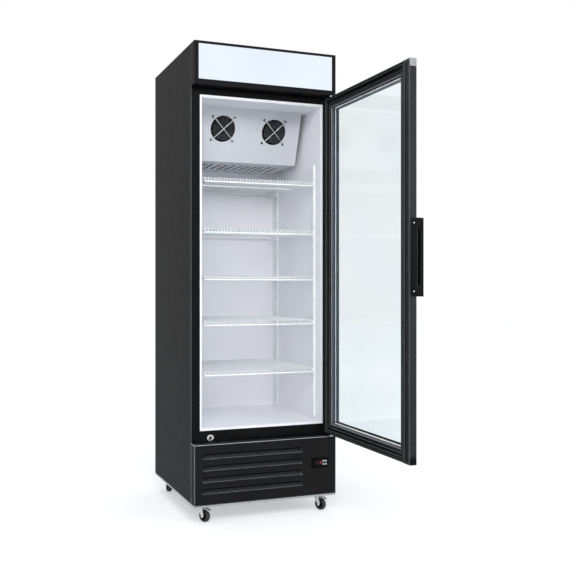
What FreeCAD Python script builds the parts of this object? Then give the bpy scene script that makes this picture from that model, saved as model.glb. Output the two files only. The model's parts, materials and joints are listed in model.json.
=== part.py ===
import FreeCAD, Part
import math
import os

os.makedirs("parts", exist_ok=True)

V = FreeCAD.Vector
X_AXIS = V(1, 0, 0)
Y_AXIS = V(0, 1, 0)
Z_AXIS = V(0, 0, 1)

# Glass door freezer on four swivel casters, door open a quarter turn as it rests.
# Millimetres, Z up, front towards -Y, origin on the floor under the middle of the cabinet.

# Overall sizes and the three zones of the front
cabinet_width = 620.0
cabinet_depth = 600.0
cabinet_height = 1910.0
body_bottom = 80.0
front_zone_depth = 46.0
canopy_height = 170.0
ledge_height = 318.0

# Sheets and general clearances
shell_sheet = 1.2
sheet = 1.5
seat_gap = 0.3
fit_gap = 0.1
overrun = 20.0
screw_radius = 3.6
screw_head = 1.8

# White liner and the compartment inside it
side_wall = 47.0
back_wall = 48.0
floor_wall = 57.0
ceiling_drop = 40.0
liner_sheet = 1.5
liner_flange = 9.5
liner_step_width = 4.5
liner_step_depth = 3.0
liner_corner = 12.0
foam_over_canopy = 20.0
foam_over_ledge = 12.0

# Black mitred frame round the opening
face_frame_sheet = 4.0
face_frame_skirt = 62.0
face_frame_head = 54.0

# Lit canopy
canopy_panel_side = 18.0
canopy_panel_top = 10.5
canopy_panel_bottom = 20.5
canopy_panel_sheet = 3.0
canopy_lap = 6.0
canopy_edge_radius = 2.0
led_bar_width = 12.0
led_bar_thick = 7.0
led_bar_share = 0.25
led_tray_sheet = 2.0

# Louvred lower panel
louvre_count = 4
louvre_height = 24.0
louvre_margin_left = 35.0
louvre_margin_right = 154.0
louvre_margin_top = 35.3
louvre_margin_bottom = 41.0
louvre_depth = 15.0
louvre_lip = 3.5
grille_return = 18.0
grille_edge_radius = 2.0

# Temperature controller
controller_width = 75.0
controller_height = 38.0
controller_from_side = 73.3
controller_from_ledge = 105.7
controller_body_depth = 40.0
controller_bezel_depth = 3.2
controller_bezel_corner = 3.0
controller_window_width = 36.0
controller_window_height = 22.0
controller_window_depth = 1.0
controller_window_shift = -7.0
controller_lap = 3.0
button_width = 8.0
button_height = 7.0
button_travel = 0.5
button_proud = 0.9
button_depth = 2.4
button_clearance = 0.35
button_pitch_x = 11.0
button_pitch_z = 13.0
button_x = 20.0

# Lock in the lower bar of the face frame
lock_from_side = 82.0
lock_over_ledge = 17.0
lock_ring_radius = 14.0
lock_ring_depth = 3.5
lock_plug_radius = 7.5
lock_barrel_radius = 10.0
lock_barrel_length = 20.0
lock_running_gap = 0.08
lock_keyway_width = 1.8
lock_keyway_height = 8.0
lock_keyway_depth = 5.0
lock_cam_length = 19.0
lock_cam_width = 9.0
lock_cam_sheet = 2.5
lock_pocket_radius = 24.0
lock_pocket_depth = 30.0

# Evaporator cover, its fans and the coil behind it
cover_side_gap = 25.0
cover_depth = 373.0
cover_height = 220.0
cover_lean_angle = 18.0
cover_slot_count = 12
cover_slot_width = 10.0
cover_slot_length = 150.0
cover_slot_margin = 46.0
fan_from_cover_end = 121.0
fan_drop = 87.0
fan_opening_radius = 55.0
guard_reach = 49.0
guard_wire_radius = 1.6
guard_standoff = 8.0
guard_foot_radius = 5.0
guard_foot_thick = 1.5
guard_screw_radius = 3.0
guard_screw_head = 1.4
blade_count = 5
evaporator_blade_radius = 50.0
hub_radius = 15.0
hub_height = 16.0
blade_thick = 1.6
blade_sweep_angle = 52.0
blade_pitch_angle = 27.0
fan_set_back = 9.0
motor_radius = 24.0
motor_length = 36.0
motor_gap = 3.0
motor_shaft_radius = 2.5
motor_shaft_grip = 7.0
motor_sides = 16
ring_sides = 24
motor_arm_count = 3
motor_arm_width = 7.0
motor_arm_thick = 4.0
motor_ring_radius = 60.0
motor_ring_width = 4.0
coil_side_gap = 48.0
coil_depth = 150.0
coil_height = 118.0
coil_gap_top = 12.0
coil_tube_radius = 5.0
coil_bend_radius = 14.0
coil_bend_count = 4
coil_end_plate = 2.0
coil_bracket_width = 22.0
bend_steps = 4

# Shelf standards, clips and wire shelves
standard_width = 20.0
standard_depth = 7.0
standard_from_face = 64.0
standard_from_back = 56.0
standard_over_floor = 17.0
standard_under_cover = 18.0
slot_width = 3.2
slot_height = 12.0
slot_pitch = 50.0
slot_depth = 5.0
shelf_shares = (0.16868, 0.32189, 0.46189, 0.60755, 0.76302)
shelf_side_gap = 20.0
shelf_from_face = 29.0
shelf_from_back = 14.0
shelf_wire_radius = 1.5
shelf_bar_radius = 3.0
shelf_front_drop = 14.0
shelf_wire_count = 36
shelf_cross_share = 0.5
wire_sides = 6
deck_sides = 4
boss_sides = 8
hub_sides = 20
clip_width = 12.0
clip_height = 9.0
clip_reach = 18.0
clip_sheet = 2.0

# Door, modelled closed and then swung open
door_side_gap = 3.0
door_end_gap = 8.0
door_thickness = 32.0
stile_front_width = 58.0
stile_back_width = 53.0
stile_rebate = 44.0
stile_edge_radius = 2.5
stile_front_lip = 3.2
stile_back_lip = 3.6
stile_step = 24.0
stile_step_depth = 1.6
glass_edge = 46.0
pane_thick = 4.0
pane_gap = 6.0
pane_bedding = 0.3
spacer_inset = 2.0
spacer_width = 12.0
gasket_inset = 8.5
gasket_width = 14.0
gasket_reach = 13.7
gasket_waist = 2.6
gasket_foot = 2.6
gasket_head = 5.6
gasket_root_width = 4.0
gasket_root_depth = 5.0
gasket_groove_gap = 0.2
door_open_angle = 90.0
corner_cap_height = 27.0
corner_cap_sheet = 1.6
corner_cap_reach = 40.0

# Hinges
hinge_from_side = 11.0
hinge_from_front = 10.0
hinge_pin_radius = 4.0
hinge_pin_reach = 16.0
hinge_running_gap = 0.06
hinge_plate = 5.0
hinge_plate_width = 28.0
hinge_leg_height = 44.0
hinge_leg_sheet = 4.0
bush_radius = 5.6
bush_flange_radius = 6.6
hinge_notch_gap = 0.8

# Pull handle on the free edge of the door
handle_over_door_end = 582.0
handle_length = 273.5
handle_plate = 3.0
handle_flange = 28.0
handle_gap_width = 14.0
handle_grip_width = 13.0
handle_grip_thick = 26.0
handle_slot_end = 36.0
handle_screw_inset = 18.0
handle_corner = 5.0

# Machine compartment in the base
base_sheet = 2.0
base_rim = 8.0
vent_slot_count = 7
vent_slot_height = 9.0
vent_columns = 3
vent_side_margin = 37.0
vent_column_gap = 18.0
vent_margin_bottom = 48.0
vent_margin_top = 46.0
gland_radius = 9.0
gland_flange_radius = 13.0
gland_flange = 3.0
gland_length = 26.0
gland_bore = 4.2
gland_from_side = 85.0
gland_over_base = 28.0
compressor_from_side = 190.0
compressor_from_back = 150.0
compressor_radius = 72.0
compressor_height = 165.0
compressor_seam = 3.0
compressor_seam_share = 0.55
compressor_crown = 26.0
pot_sides = 28
compressor_plate = 3.0
compressor_plate_half = 82.0
compressor_foot_radius = 12.0
compressor_foot_height = 14.0
compressor_foot_inset = 68.0
compressor_foot_waist_share = 0.78
condenser_margin_left = 100.0
condenser_margin_right = 220.0
condenser_from_front = 95.0
condenser_depth = 46.0
condenser_height = 190.0
condenser_fin_count = 18
condenser_fin_thick = 2.0
condenser_core_depth = 30.0
condenser_bend_radius = 15.0
condenser_tube_radius = 4.5
condenser_bend_count = 4
condenser_fan_radius = 80.0
condenser_ring_clearance = 4.0
condenser_ring_depth = 40.0
condenser_plate = 2.0
drain_pan_side_gap = 35.0
drain_pan_compressor_gap = 63.0
drain_pan_back_gap = 50.0
drain_pan_depth = 120.0
drain_pan_height = 34.0
drain_pan_sheet = 2.0
drain_pan_corner = 12.0
pipe_radius = 4.0
pipe_bend = 22.0
box_width = 110.0
box_depth = 64.0
box_height = 84.0
box_side_gap = 30.0
box_from_front = 140.0
box_lid_lap = 3.0
box_corner = 4.0

# Casters
wheel_radius = 25.0
wheel_width = 20.0
wheel_hub_radius = 9.0
wheel_hub_width = 22.0
caster_plate_half = 29.0
caster_plate_sheet = 2.5
caster_plate_corner = 6.0
caster_bolt_inset = 21.0
bolt_radius = 5.0
bolt_head = 3.0
race_radius = 21.0
race_height = 4.5
race_gap = 0.3
fork_top_radius = 18.0
fork_sheet = 2.5
fork_inside_gap = 0.6
fork_shoulder = 14.0
axle_radius = 4.0
axle_gap = 0.06
axle_end = 2.5
axle_end_radius = 6.5
kingpin_radius = 5.0
kingpin_gap = 0.06
caster_trail = 18.0
caster_from_side = 52.0
caster_from_front = 70.0
caster_from_back = 68.0
front_trail_angle = -63.6
rear_trail_angle = 90.0
pedal_pivot_forward = 3.0
pedal_pivot_height = 54.5
pedal_pivot_radius = 2.5
pedal_width = 17.0
pedal_length = 46.0
pedal_sheet = 3.0
pedal_drop = 6.0
pedal_corner = 4.0

# Places that follow from the sizes above
half_width = cabinet_width / 2
front_y = -cabinet_depth / 2
back_y = cabinet_depth / 2
face_y = front_y + front_zone_depth
canopy_bottom = cabinet_height - canopy_height
half_opening = half_width - side_wall
opening_bottom = ledge_height + floor_wall
opening_top = canopy_bottom - ceiling_drop
liner_back = back_y - back_wall
foam_bottom = ledge_height + foam_over_ledge
foam_top = canopy_bottom + foam_over_canopy
inner_half = half_width - shell_sheet
door_bottom = ledge_height + door_end_gap
door_top = canopy_bottom - door_end_gap
door_height = door_top - door_bottom
door_left = -half_width + door_side_gap
door_right = half_width - door_side_gap
door_width = door_right - door_left
hinge_x = half_width - hinge_from_side
hinge_y = front_y + hinge_from_front
handle_bottom = door_bottom + handle_over_door_end
fan_tilt = math.radians(cover_lean_angle)
fan_axis = V(0, -math.cos(fan_tilt), -math.sin(fan_tilt))
cover_half_width = half_opening - cover_side_gap
cover_top_y = liner_back - cover_depth
cover_bottom = opening_top - cover_height
fan_x = cover_half_width - fan_from_cover_end
cover_slot_pitch = (2 * (cover_half_width - cover_slot_margin) - cover_slot_width) / (cover_slot_count - 1)
coil_half_width = half_opening - coil_side_gap
standard_front_y = face_y + standard_from_face
standard_rear_y = liner_back - standard_from_back
standard_bottom = opening_bottom + standard_over_floor
standard_top = cover_bottom - standard_under_cover
shelf_levels = [opening_bottom + share * (opening_top - opening_bottom) for share in shelf_shares]
shelf_half_width = half_opening - shelf_side_gap
shelf_front_y = face_y + shelf_from_face
shelf_rear_y = liner_back - shelf_from_back
lock_x = -half_width + lock_from_side
lock_z = ledge_height + lock_over_ledge
louvre_left = -half_width + louvre_margin_left
louvre_length = cabinet_width - louvre_margin_left - louvre_margin_right
louvre_field = ledge_height - body_bottom - louvre_margin_top - louvre_margin_bottom
louvre_pitch = (louvre_field - louvre_height) / (louvre_count - 1)
controller_x = half_width - controller_from_side
controller_z = ledge_height - controller_from_ledge
vent_field = cabinet_width - 2 * vent_side_margin
vent_slot_length = (vent_field - (vent_columns - 1) * vent_column_gap) / vent_columns
vent_column_pitch = vent_slot_length + vent_column_gap
vent_first_z = body_bottom + vent_margin_bottom
vent_slot_pitch = (foam_bottom - vent_margin_top - vent_first_z) / (vent_slot_count - 1)
gland_x = -half_width + gland_from_side
gland_z = body_bottom + gland_over_base
compressor_x = half_width - compressor_from_side
compressor_y = back_y - compressor_from_back
condenser_half_width = (cabinet_width - condenser_margin_left - condenser_margin_right) / 2
condenser_x = -half_width + condenser_margin_left + condenser_half_width
condenser_y = front_y + condenser_from_front
caster_x = half_width - caster_from_side
caster_front_y = front_y + caster_from_front
caster_rear_y = back_y - caster_from_back


def block(x0, x1, y0, y1, z0, z1):
    """A box between two corners."""
    return Part.makeBox(x1 - x0, y1 - y0, z1 - z0, V(x0, y0, z0))


def rod(start, end, radius):
    """A round bar from one point to another."""
    run = end - start
    return Part.makeCylinder(radius, run.Length, start, run)


def prism(points, run):
    """A flat outline pushed along a direction."""
    wire = Part.makePolygon(list(points) + [points[0]])
    return Part.Face(wire).extrude(run)


def turned(shape, centre, axis, angle):
    """A turned copy."""
    copy = shape.copy()
    copy.rotate(centre, axis, angle)
    return copy


def moved(shape, offset):
    """A shifted copy."""
    copy = shape.copy()
    copy.translate(offset)
    return copy


def rounded(shape, radius, test):
    """Rounds the edges that the test picks."""
    edges = [edge for edge in shape.Edges if test(edge)]
    return shape.makeFillet(radius, edges)


def along(edge, axis):
    """True for a straight edge in line with an axis."""
    if len(edge.Vertexes) < 2:
        return False
    run = edge.Vertexes[1].Point - edge.Vertexes[0].Point
    return run.Length > fit_gap and run.cross(axis).Length < fit_gap


def chamfered(shape, size, test):
    """Bevels the edges that the test picks."""
    edges = [edge for edge in shape.Edges if test(edge)]
    return shape.makeChamfer(size, edges)


def round_with_flats(centre, run, radius, sides):
    """A short boss drawn with flats, such as a hexagon head: it stands on its centre along a run."""
    axis = V(run.x, run.y, run.z).normalize()
    side = Y_AXIS if abs(axis.dot(Y_AXIS)) < 1 / 2 else Z_AXIS
    side = axis.cross(side).normalize()
    other = axis.cross(side)
    corners = []
    for number in range(sides):
        angle = 2 * math.pi * (number + 1 / 2) / sides
        corners.append(centre + side * (radius * math.cos(angle)) + other * (radius * math.sin(angle)))
    return prism(corners, run)


def slot_along_x(x0, x1, y0, y1, z_middle, height):
    """A cutter for a slot with bevelled ends."""
    end = height / 2
    corner = height / 4
    outline = [
        V(x0, y0, z_middle - corner),
        V(x0 + corner, y0, z_middle - end),
        V(x1 - corner, y0, z_middle - end),
        V(x1, y0, z_middle - corner),
        V(x1, y0, z_middle + corner),
        V(x1 - corner, y0, z_middle + end),
        V(x0 + corner, y0, z_middle + end),
        V(x0, y0, z_middle + corner),
    ]
    return prism(outline, V(0, y1 - y0, 0))


def flat_wire(points, radius, normal, sides=wire_sides):
    """A bent wire or tube drawn with flats: it follows the points, and the normal is square to its first run."""
    path = Part.makePolygon(points)
    first = points[1] - points[0]
    first.normalize()
    side = first.cross(normal)
    ring = []
    for number in range(sides):
        angle = 2 * math.pi * (number + 1 / 2) / sides
        ring.append(points[0] + normal * (radius * math.sin(angle)) + side * (radius * math.cos(angle)))
    section = Part.makePolygon(ring + [ring[0]])
    shell = Part.BRepOffsetAPI.MakePipeShell(path)
    shell.setTransitionMode(1)
    shell.add(section)
    shell.build()
    shell.makeSolid()
    return shell.shape()


def mitred_member(section, length, depth):
    """One side of a picture frame: its section runs along X and its ends are cut at 45 degrees."""
    bar = prism([V(-length / 2, t, u) for u, t in section], V(length, 0, 0))
    trapezoid = [
        V(-length / 2, -overrun, 0),
        V(length / 2, -overrun, 0),
        V(length / 2 - depth, -overrun, depth),
        V(-length / 2 + depth, -overrun, depth),
    ]
    return bar.common(prism(trapezoid, V(0, door_thickness + gasket_reach + 2 * overrun, 0)))


def door_ring(section, depth, inset):
    """The four mitred members of a ring in the door, set in from the door's edge."""
    width = door_width - 2 * inset
    height = door_height - 2 * inset
    middle = V((door_left + door_right) / 2, front_y, (door_bottom + door_top) / 2)
    rail = mitred_member(section, width, depth)
    stile = mitred_member(section, height, depth)
    bottom = moved(rail, V(0, 0, -height / 2))
    left = moved(turned(stile, V(0, 0, 0), Y_AXIS, 90), V(-width / 2, 0, 0))
    members = [bottom, turned(bottom, V(0, 0, 0), Y_AXIS, 180), left, turned(left, V(0, 0, 0), Y_AXIS, 180)]
    return [moved(member, middle) for member in members]


def swing(shape):
    """Takes a piece of the closed door to the open rest position."""
    return turned(shape, V(hinge_x, hinge_y, 0), Z_AXIS, door_open_angle)


def outer_shell():
    """Side and top panels: one wrapped sheet with hems at its front edges."""
    outside = block(-half_width, half_width, face_y, back_y - sheet, body_bottom, cabinet_height)
    inside = block(-inner_half, inner_half, face_y - overrun, back_y + overrun,
                   body_bottom - overrun, cabinet_height - shell_sheet)
    return outside.cut(inside)


def back_panel():
    """Rear sheet with a field of cooling slots over the machine compartment."""
    panel = block(-half_width, half_width, back_y - sheet, back_y, body_bottom, cabinet_height)
    cutters = []
    first_x = -vent_column_pitch * (vent_columns - 1) / 2
    for column in range(vent_columns):
        middle = first_x + column * vent_column_pitch
        for row in range(vent_slot_count):
            z = vent_first_z + row * vent_slot_pitch
            cutters.append(slot_along_x(middle - vent_slot_length / 2, middle + vent_slot_length / 2,
                                        back_y - overrun, back_y + overrun, z, vent_slot_height))
    gland_hole = Part.makeCylinder(gland_radius + fit_gap, 2 * overrun,
                                   V(gland_x, back_y - overrun, gland_z), Y_AXIS)
    return panel.cut(cutters + [gland_hole])


def cord_gland():
    """Bush where a supply cord would pass through the back panel: flush outside, its flange inside."""
    barrel = round_with_flats(V(gland_x, back_y, gland_z), V(0, -gland_length, 0), gland_radius, hub_sides)
    flange = round_with_flats(V(gland_x, back_y - sheet, gland_z), V(0, -gland_flange, 0), gland_flange_radius,
                              boss_sides)
    bore = Part.makeCylinder(gland_bore, gland_length + 2 * overrun,
                             V(gland_x, back_y - gland_length - overrun, gland_z), Y_AXIS)
    return barrel.fuse(flange).cut(bore).removeSplitter()


def inner_liner():
    """White moulded compartment, open in front, with a stepped flange round its mouth."""
    outer_half = half_opening + liner_sheet
    body = block(-outer_half, outer_half, face_y + face_frame_sheet, liner_back + liner_sheet,
                 opening_bottom - liner_sheet, opening_top + liner_sheet)
    flange = block(-half_opening - liner_flange, half_opening + liner_flange, face_y,
                   face_y + face_frame_sheet, opening_bottom - liner_flange, opening_top + liner_flange)
    inside = block(-half_opening, half_opening, face_y - overrun, liner_back, opening_bottom, opening_top)
    inside = rounded(inside, liner_corner,
                     lambda edge: edge.BoundBox.YMax > liner_back - fit_gap
                     and (along(edge, X_AXIS) or along(edge, Z_AXIS)))
    step = block(-half_opening - liner_step_width, half_opening + liner_step_width, face_y - overrun,
                 face_y + liner_step_depth, opening_bottom - liner_step_width, opening_top + liner_step_width)
    return body.fuse(flange).cut([inside, step]).removeSplitter()


def insulation():
    """Foam between the shell and the liner, with a pocket for the lock's cam."""
    foam = block(-inner_half, inner_half, face_y + face_frame_sheet, back_y - sheet, foam_bottom, foam_top)
    outer_half = half_opening + liner_sheet
    cavity = block(-outer_half, outer_half, face_y - overrun, liner_back + liner_sheet,
                   opening_bottom - liner_sheet, opening_top + liner_sheet)
    pocket = Part.makeCylinder(lock_pocket_radius, lock_pocket_depth,
                               V(lock_x, face_y + face_frame_sheet, lock_z), Y_AXIS)
    return foam.cut([cavity, pocket])


def face_frame():
    """Four black bars round the opening, mitred at the corners; the lower one holds the lock."""
    x_in = half_opening + liner_flange
    x_out = inner_half
    z_low = opening_bottom - liner_flange
    z_high = opening_top + liner_flange
    side = x_out - x_in
    run = V(0, face_frame_sheet, 0)

    def bar(corners):
        return prism([V(x, face_y, z) for x, z in corners], run)

    left = bar([(-x_in, z_low), (-x_in, z_high), (-x_out, z_high + side), (-x_out, z_low - side)])
    right = bar([(x_in, z_low), (x_out, z_low - side), (x_out, z_high + side), (x_in, z_high)])
    skirt = ledge_height - face_frame_skirt
    head = canopy_bottom + face_frame_head
    bottom = bar([(-x_in, z_low), (-x_out, z_low - side), (-x_out, skirt), (x_out, skirt),
                  (x_out, z_low - side), (x_in, z_low)])
    top = bar([(-x_in, z_high), (x_in, z_high), (x_out, z_high + side), (x_out, head),
               (-x_out, head), (-x_out, z_high + side)])
    lock_hole = Part.makeCylinder(lock_ring_radius, face_frame_sheet + 2 * overrun,
                                  V(lock_x, face_y - overrun, lock_z), Y_AXIS)
    return Part.makeCompound([left, right, bottom.cut(lock_hole), top])


def hinge_notch(z0, z1):
    """Room in a folded panel for the leg of a hinge bracket."""
    reach = hinge_plate_width / 2 + hinge_notch_gap
    return block(hinge_x - reach, half_width - shell_sheet, face_y - hinge_leg_sheet - hinge_notch_gap,
                 face_y + overrun, z0, z1)


def canopy_housing():
    """Folded black box over the door with a window for the lit panel."""
    box = block(-half_width, half_width, front_y, face_y, canopy_bottom, cabinet_height)
    box = rounded(box, canopy_edge_radius,
                  lambda edge: along(edge, Z_AXIS) and edge.BoundBox.YMax < front_y + fit_gap)
    room = block(-inner_half, inner_half, front_y + shell_sheet, face_y + overrun,
                 canopy_bottom + shell_sheet, cabinet_height - shell_sheet)
    window = block(-half_width + canopy_panel_side, half_width - canopy_panel_side, front_y - overrun,
                   front_y + overrun, canopy_bottom + canopy_panel_bottom, cabinet_height - canopy_panel_top)
    notch = hinge_notch(canopy_bottom - overrun, canopy_bottom + overrun)
    return box.cut([room, window, notch])


def canopy_panel():
    """Plain lit diffuser: its raised field fills the window and its rim laps behind the housing."""
    x = half_width - canopy_panel_side
    z0 = canopy_bottom + canopy_panel_bottom
    z1 = cabinet_height - canopy_panel_top
    back = front_y + shell_sheet
    field = block(-x + seat_gap, x - seat_gap, front_y + seat_gap, back, z0 + seat_gap, z1 - seat_gap)
    lap = block(-x - canopy_lap, x + canopy_lap, back, back + canopy_panel_sheet, z0 - canopy_lap, z1 + canopy_lap)
    return field.fuse(lap).removeSplitter()


def canopy_leds():
    """Tray at the back of the canopy with two rows of light bars."""
    z0 = canopy_bottom + shell_sheet
    z1 = cabinet_height - shell_sheet
    tray = block(-inner_half, inner_half, face_y - led_tray_sheet, face_y, z0, z1)
    front = face_y - led_tray_sheet - led_bar_thick
    bars = []
    for share in (led_bar_share, 1 - led_bar_share):
        z = z0 + (z1 - z0) * share
        bars.append(block(-inner_half + canopy_panel_side, inner_half - canopy_panel_side, front,
                          face_y - led_tray_sheet, z - led_bar_width / 2, z + led_bar_width / 2))
    return tray.fuse(bars).cut(hinge_notch(canopy_bottom, canopy_bottom + hinge_leg_height + overrun))


def louvre_hood(z_top):
    """One formed louvre: a slanted blade with a rolled lip and closed ends behind its slot."""
    z_low = z_top - louvre_height
    x1 = louvre_left + louvre_length
    rear = front_y + louvre_depth
    blade = prism([
        V(louvre_left, front_y, z_low + louvre_lip),
        V(louvre_left, front_y, z_low),
        V(louvre_left, rear, z_top - louvre_lip),
        V(louvre_left, rear, z_top),
    ], V(louvre_length, 0, 0))
    cheek_outline = [
        V(0, front_y, z_low),
        V(0, front_y, z_top),
        V(0, rear, z_top),
    ]
    cheeks = []
    for x in (louvre_left, x1 - shell_sheet):
        cheeks.append(moved(prism(cheek_outline, V(shell_sheet, 0, 0)), V(x, 0, 0)))
    return blade.fuse(cheeks)


def grille_panel():
    """Lower front panel: folded sheet with a ledge on top and four formed louvres."""
    box = block(-half_width, half_width, front_y, face_y, body_bottom, ledge_height)
    box = rounded(box, grille_edge_radius,
                  lambda edge: along(edge, Z_AXIS) and edge.BoundBox.YMax < front_y + fit_gap)
    room = block(-inner_half, inner_half, front_y + shell_sheet, face_y + overrun,
                 body_bottom - overrun, ledge_height - shell_sheet)
    panel = box.cut(room)
    hem = block(-inner_half, inner_half, front_y + shell_sheet, front_y + grille_return,
                body_bottom, body_bottom + shell_sheet)
    slots = []
    hoods = []
    for number in range(louvre_count):
        z_top = ledge_height - louvre_margin_top - number * louvre_pitch
        slots.append(block(louvre_left + shell_sheet, louvre_left + louvre_length - shell_sheet,
                           front_y - overrun, front_y + shell_sheet + fit_gap,
                           z_top - louvre_height + louvre_lip, z_top))
        hoods.append(louvre_hood(z_top))
    cutout = block(controller_x - controller_width / 2 + controller_lap,
                   controller_x + controller_width / 2 - controller_lap, front_y - overrun, front_y + overrun,
                   controller_z - controller_height / 2 + controller_lap,
                   controller_z + controller_height / 2 - controller_lap)
    notch = hinge_notch(ledge_height - overrun, ledge_height + overrun)
    return panel.cut(slots + [cutout, notch]).fuse(hoods + [hem]).removeSplitter()


def button_places():
    """Middle of each of the four controller buttons."""
    places = []
    for row in (0.5, -0.5):
        for column in (-0.5, 0.5):
            places.append((controller_x + button_x + column * button_pitch_x, controller_z + row * button_pitch_z))
    return places


def controller_bezel():
    """Controller body with its rounded bezel, a sunk display window and four button wells."""
    half_w = controller_width / 2
    half_h = controller_height / 2
    bezel = block(controller_x - half_w, controller_x + half_w, front_y - controller_bezel_depth, front_y,
                  controller_z - half_h, controller_z + half_h)
    bezel = rounded(bezel, controller_bezel_corner, lambda edge: along(edge, Y_AXIS))
    inset = controller_lap + fit_gap
    body = block(controller_x - half_w + inset, controller_x + half_w - inset, front_y,
                 front_y + controller_body_depth, controller_z - half_h + inset, controller_z + half_h - inset)
    window_x = controller_x + controller_window_shift
    window = block(window_x - controller_window_width / 2, window_x + controller_window_width / 2,
                   front_y - controller_bezel_depth - overrun,
                   front_y - controller_bezel_depth + controller_window_depth,
                   controller_z - controller_window_height / 2, controller_z + controller_window_height / 2)
    wells = []
    floor_y = front_y - controller_bezel_depth - button_proud + button_depth + button_travel + button_clearance
    for x, z in button_places():
        half_bw = button_width / 2 + button_clearance
        half_bh = button_height / 2 + button_clearance
        wells.append(block(x - half_bw, x + half_bw, front_y - controller_bezel_depth - overrun, floor_y,
                           z - half_bh, z + half_bh))
    return bezel.fuse(body).cut([window] + wells)


def controller_button(place):
    """One push button with softened corners."""
    x, z = place
    front = front_y - controller_bezel_depth - button_proud
    key = block(x - button_width / 2, x + button_width / 2, front, front + button_depth,
                z - button_height / 2, z + button_height / 2)
    return rounded(key, button_proud, lambda edge: along(edge, Y_AXIS))


def lock_body():
    """Chrome ring set flush in the frame bar, with the barrel behind it."""
    ring = Part.makeCylinder(lock_ring_radius - fit_gap, lock_ring_depth, V(lock_x, face_y, lock_z), Y_AXIS)
    barrel = round_with_flats(V(lock_x, face_y, lock_z), V(0, lock_barrel_length, 0), lock_barrel_radius, hub_sides)
    bore = Part.makeCylinder(lock_plug_radius + lock_running_gap, lock_barrel_length + 2 * overrun,
                             V(lock_x, face_y - overrun, lock_z), Y_AXIS)
    return ring.fuse(barrel).cut(bore).removeSplitter()


def lock_plug():
    """Turning plug with its keyway and the cam on its rear end."""
    length = lock_barrel_length + seat_gap + lock_cam_sheet
    plug = Part.makeCylinder(lock_plug_radius, length, V(lock_x, face_y, lock_z), Y_AXIS)
    cam_y = face_y + lock_barrel_length + seat_gap
    cam = block(lock_x - lock_cam_width / 2, lock_x + lock_cam_width / 2, cam_y, cam_y + lock_cam_sheet,
                lock_z - lock_cam_length, lock_z)
    cam = rounded(cam, lock_cam_width / 2 - fit_gap,
                  lambda edge: along(edge, Y_AXIS) and edge.BoundBox.ZMax < lock_z - fit_gap)
    keyway = block(lock_x - lock_keyway_width / 2, lock_x + lock_keyway_width / 2, face_y - overrun,
                   face_y + lock_keyway_depth, lock_z - lock_keyway_height / 2, lock_z + lock_keyway_height / 2)
    return plug.fuse(cam).cut(keyway)


def cover_front_y(z):
    """Y of the slanted cover's front face at a height."""
    return cover_top_y + (opening_top - z) * math.tan(fan_tilt)


def fan_centre(side):
    """Middle of a fan opening on the cover's front face."""
    z = opening_top - fan_drop
    return V(side * fan_x, cover_front_y(z), z)


def evaporator_cover():
    """Slanted white sheet box under the ceiling with two fan openings and an intake below."""
    lower_y = cover_front_y(cover_bottom)
    shift = sheet / math.cos(fan_tilt)
    outline = [
        V(-cover_half_width, cover_top_y, opening_top),
        V(-cover_half_width, lower_y, cover_bottom),
        V(-cover_half_width, liner_back, cover_bottom),
        V(-cover_half_width, liner_back, opening_top),
    ]
    hollow = [
        V(-cover_half_width + sheet, cover_front_y(opening_top + overrun) + shift, opening_top + overrun),
        V(-cover_half_width + sheet, cover_front_y(cover_bottom + sheet) + shift, cover_bottom + sheet),
        V(-cover_half_width + sheet, liner_back + overrun, cover_bottom + sheet),
        V(-cover_half_width + sheet, liner_back + overrun, opening_top + overrun),
    ]
    skin = prism(outline, V(2 * cover_half_width, 0, 0)).cut(prism(hollow, V(2 * (cover_half_width - sheet), 0, 0)))
    corner_room = block(-cover_half_width - overrun, cover_half_width + overrun, liner_back - liner_corner,
                        liner_back + overrun, opening_top - liner_corner, opening_top + overrun)
    cutters = [corner_room]
    for side in (-1, 1):
        centre = fan_centre(side)
        cutters.append(Part.makeCylinder(fan_opening_radius, 2 * overrun, centre + fan_axis * overrun, -fan_axis))
    first = -cover_slot_pitch * (cover_slot_count - 1) / 2
    slot_y = (lower_y + liner_back - cover_slot_length) / 2
    for number in range(cover_slot_count):
        x = first + number * cover_slot_pitch
        cutters.append(block(x - cover_slot_width / 2, x + cover_slot_width / 2, slot_y,
                             slot_y + cover_slot_length, cover_bottom - overrun, cover_bottom + overrun))
    return skin.cut(cutters)


def cross_guard(side):
    """Wire cross in front of a fan opening: two bent wires on four screwed feet."""
    centre = fan_centre(side)
    across = X_AXIS
    upward = fan_axis.cross(X_AXIS) * -1
    pieces = []
    for number, slope in enumerate((1, -1)):
        direction = (across + upward * slope) * (1 / math.sqrt(2))
        reach = guard_reach * math.sqrt(2)
        lift = guard_standoff + number * 2 * guard_wire_radius
        ends = [centre + direction * (sign * reach) for sign in (-1, 1)]
        low = guard_foot_thick
        points = [ends[0] + fan_axis * low, ends[0] + fan_axis * lift, ends[1] + fan_axis * lift,
                  ends[1] + fan_axis * low]
        pieces.append(flat_wire(points, guard_wire_radius, direction.cross(fan_axis)))
        for end in ends:
            pieces.append(round_with_flats(end, fan_axis * guard_foot_thick, guard_foot_radius, boss_sides))
            head = fan_axis * (guard_foot_thick + guard_screw_head)
            pieces.append(round_with_flats(end, head, guard_screw_radius, boss_sides))
    return pieces[0].fuse(pieces[1:])


def blade_reach(radius):
    """How far a pitched blade reaches along its axis from the rotor's middle, with a little room."""
    half_sweep = math.radians(blade_sweep_angle / 2)
    return radius * math.sin(half_sweep) * math.sin(math.radians(blade_pitch_angle)) + blade_thick


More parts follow.
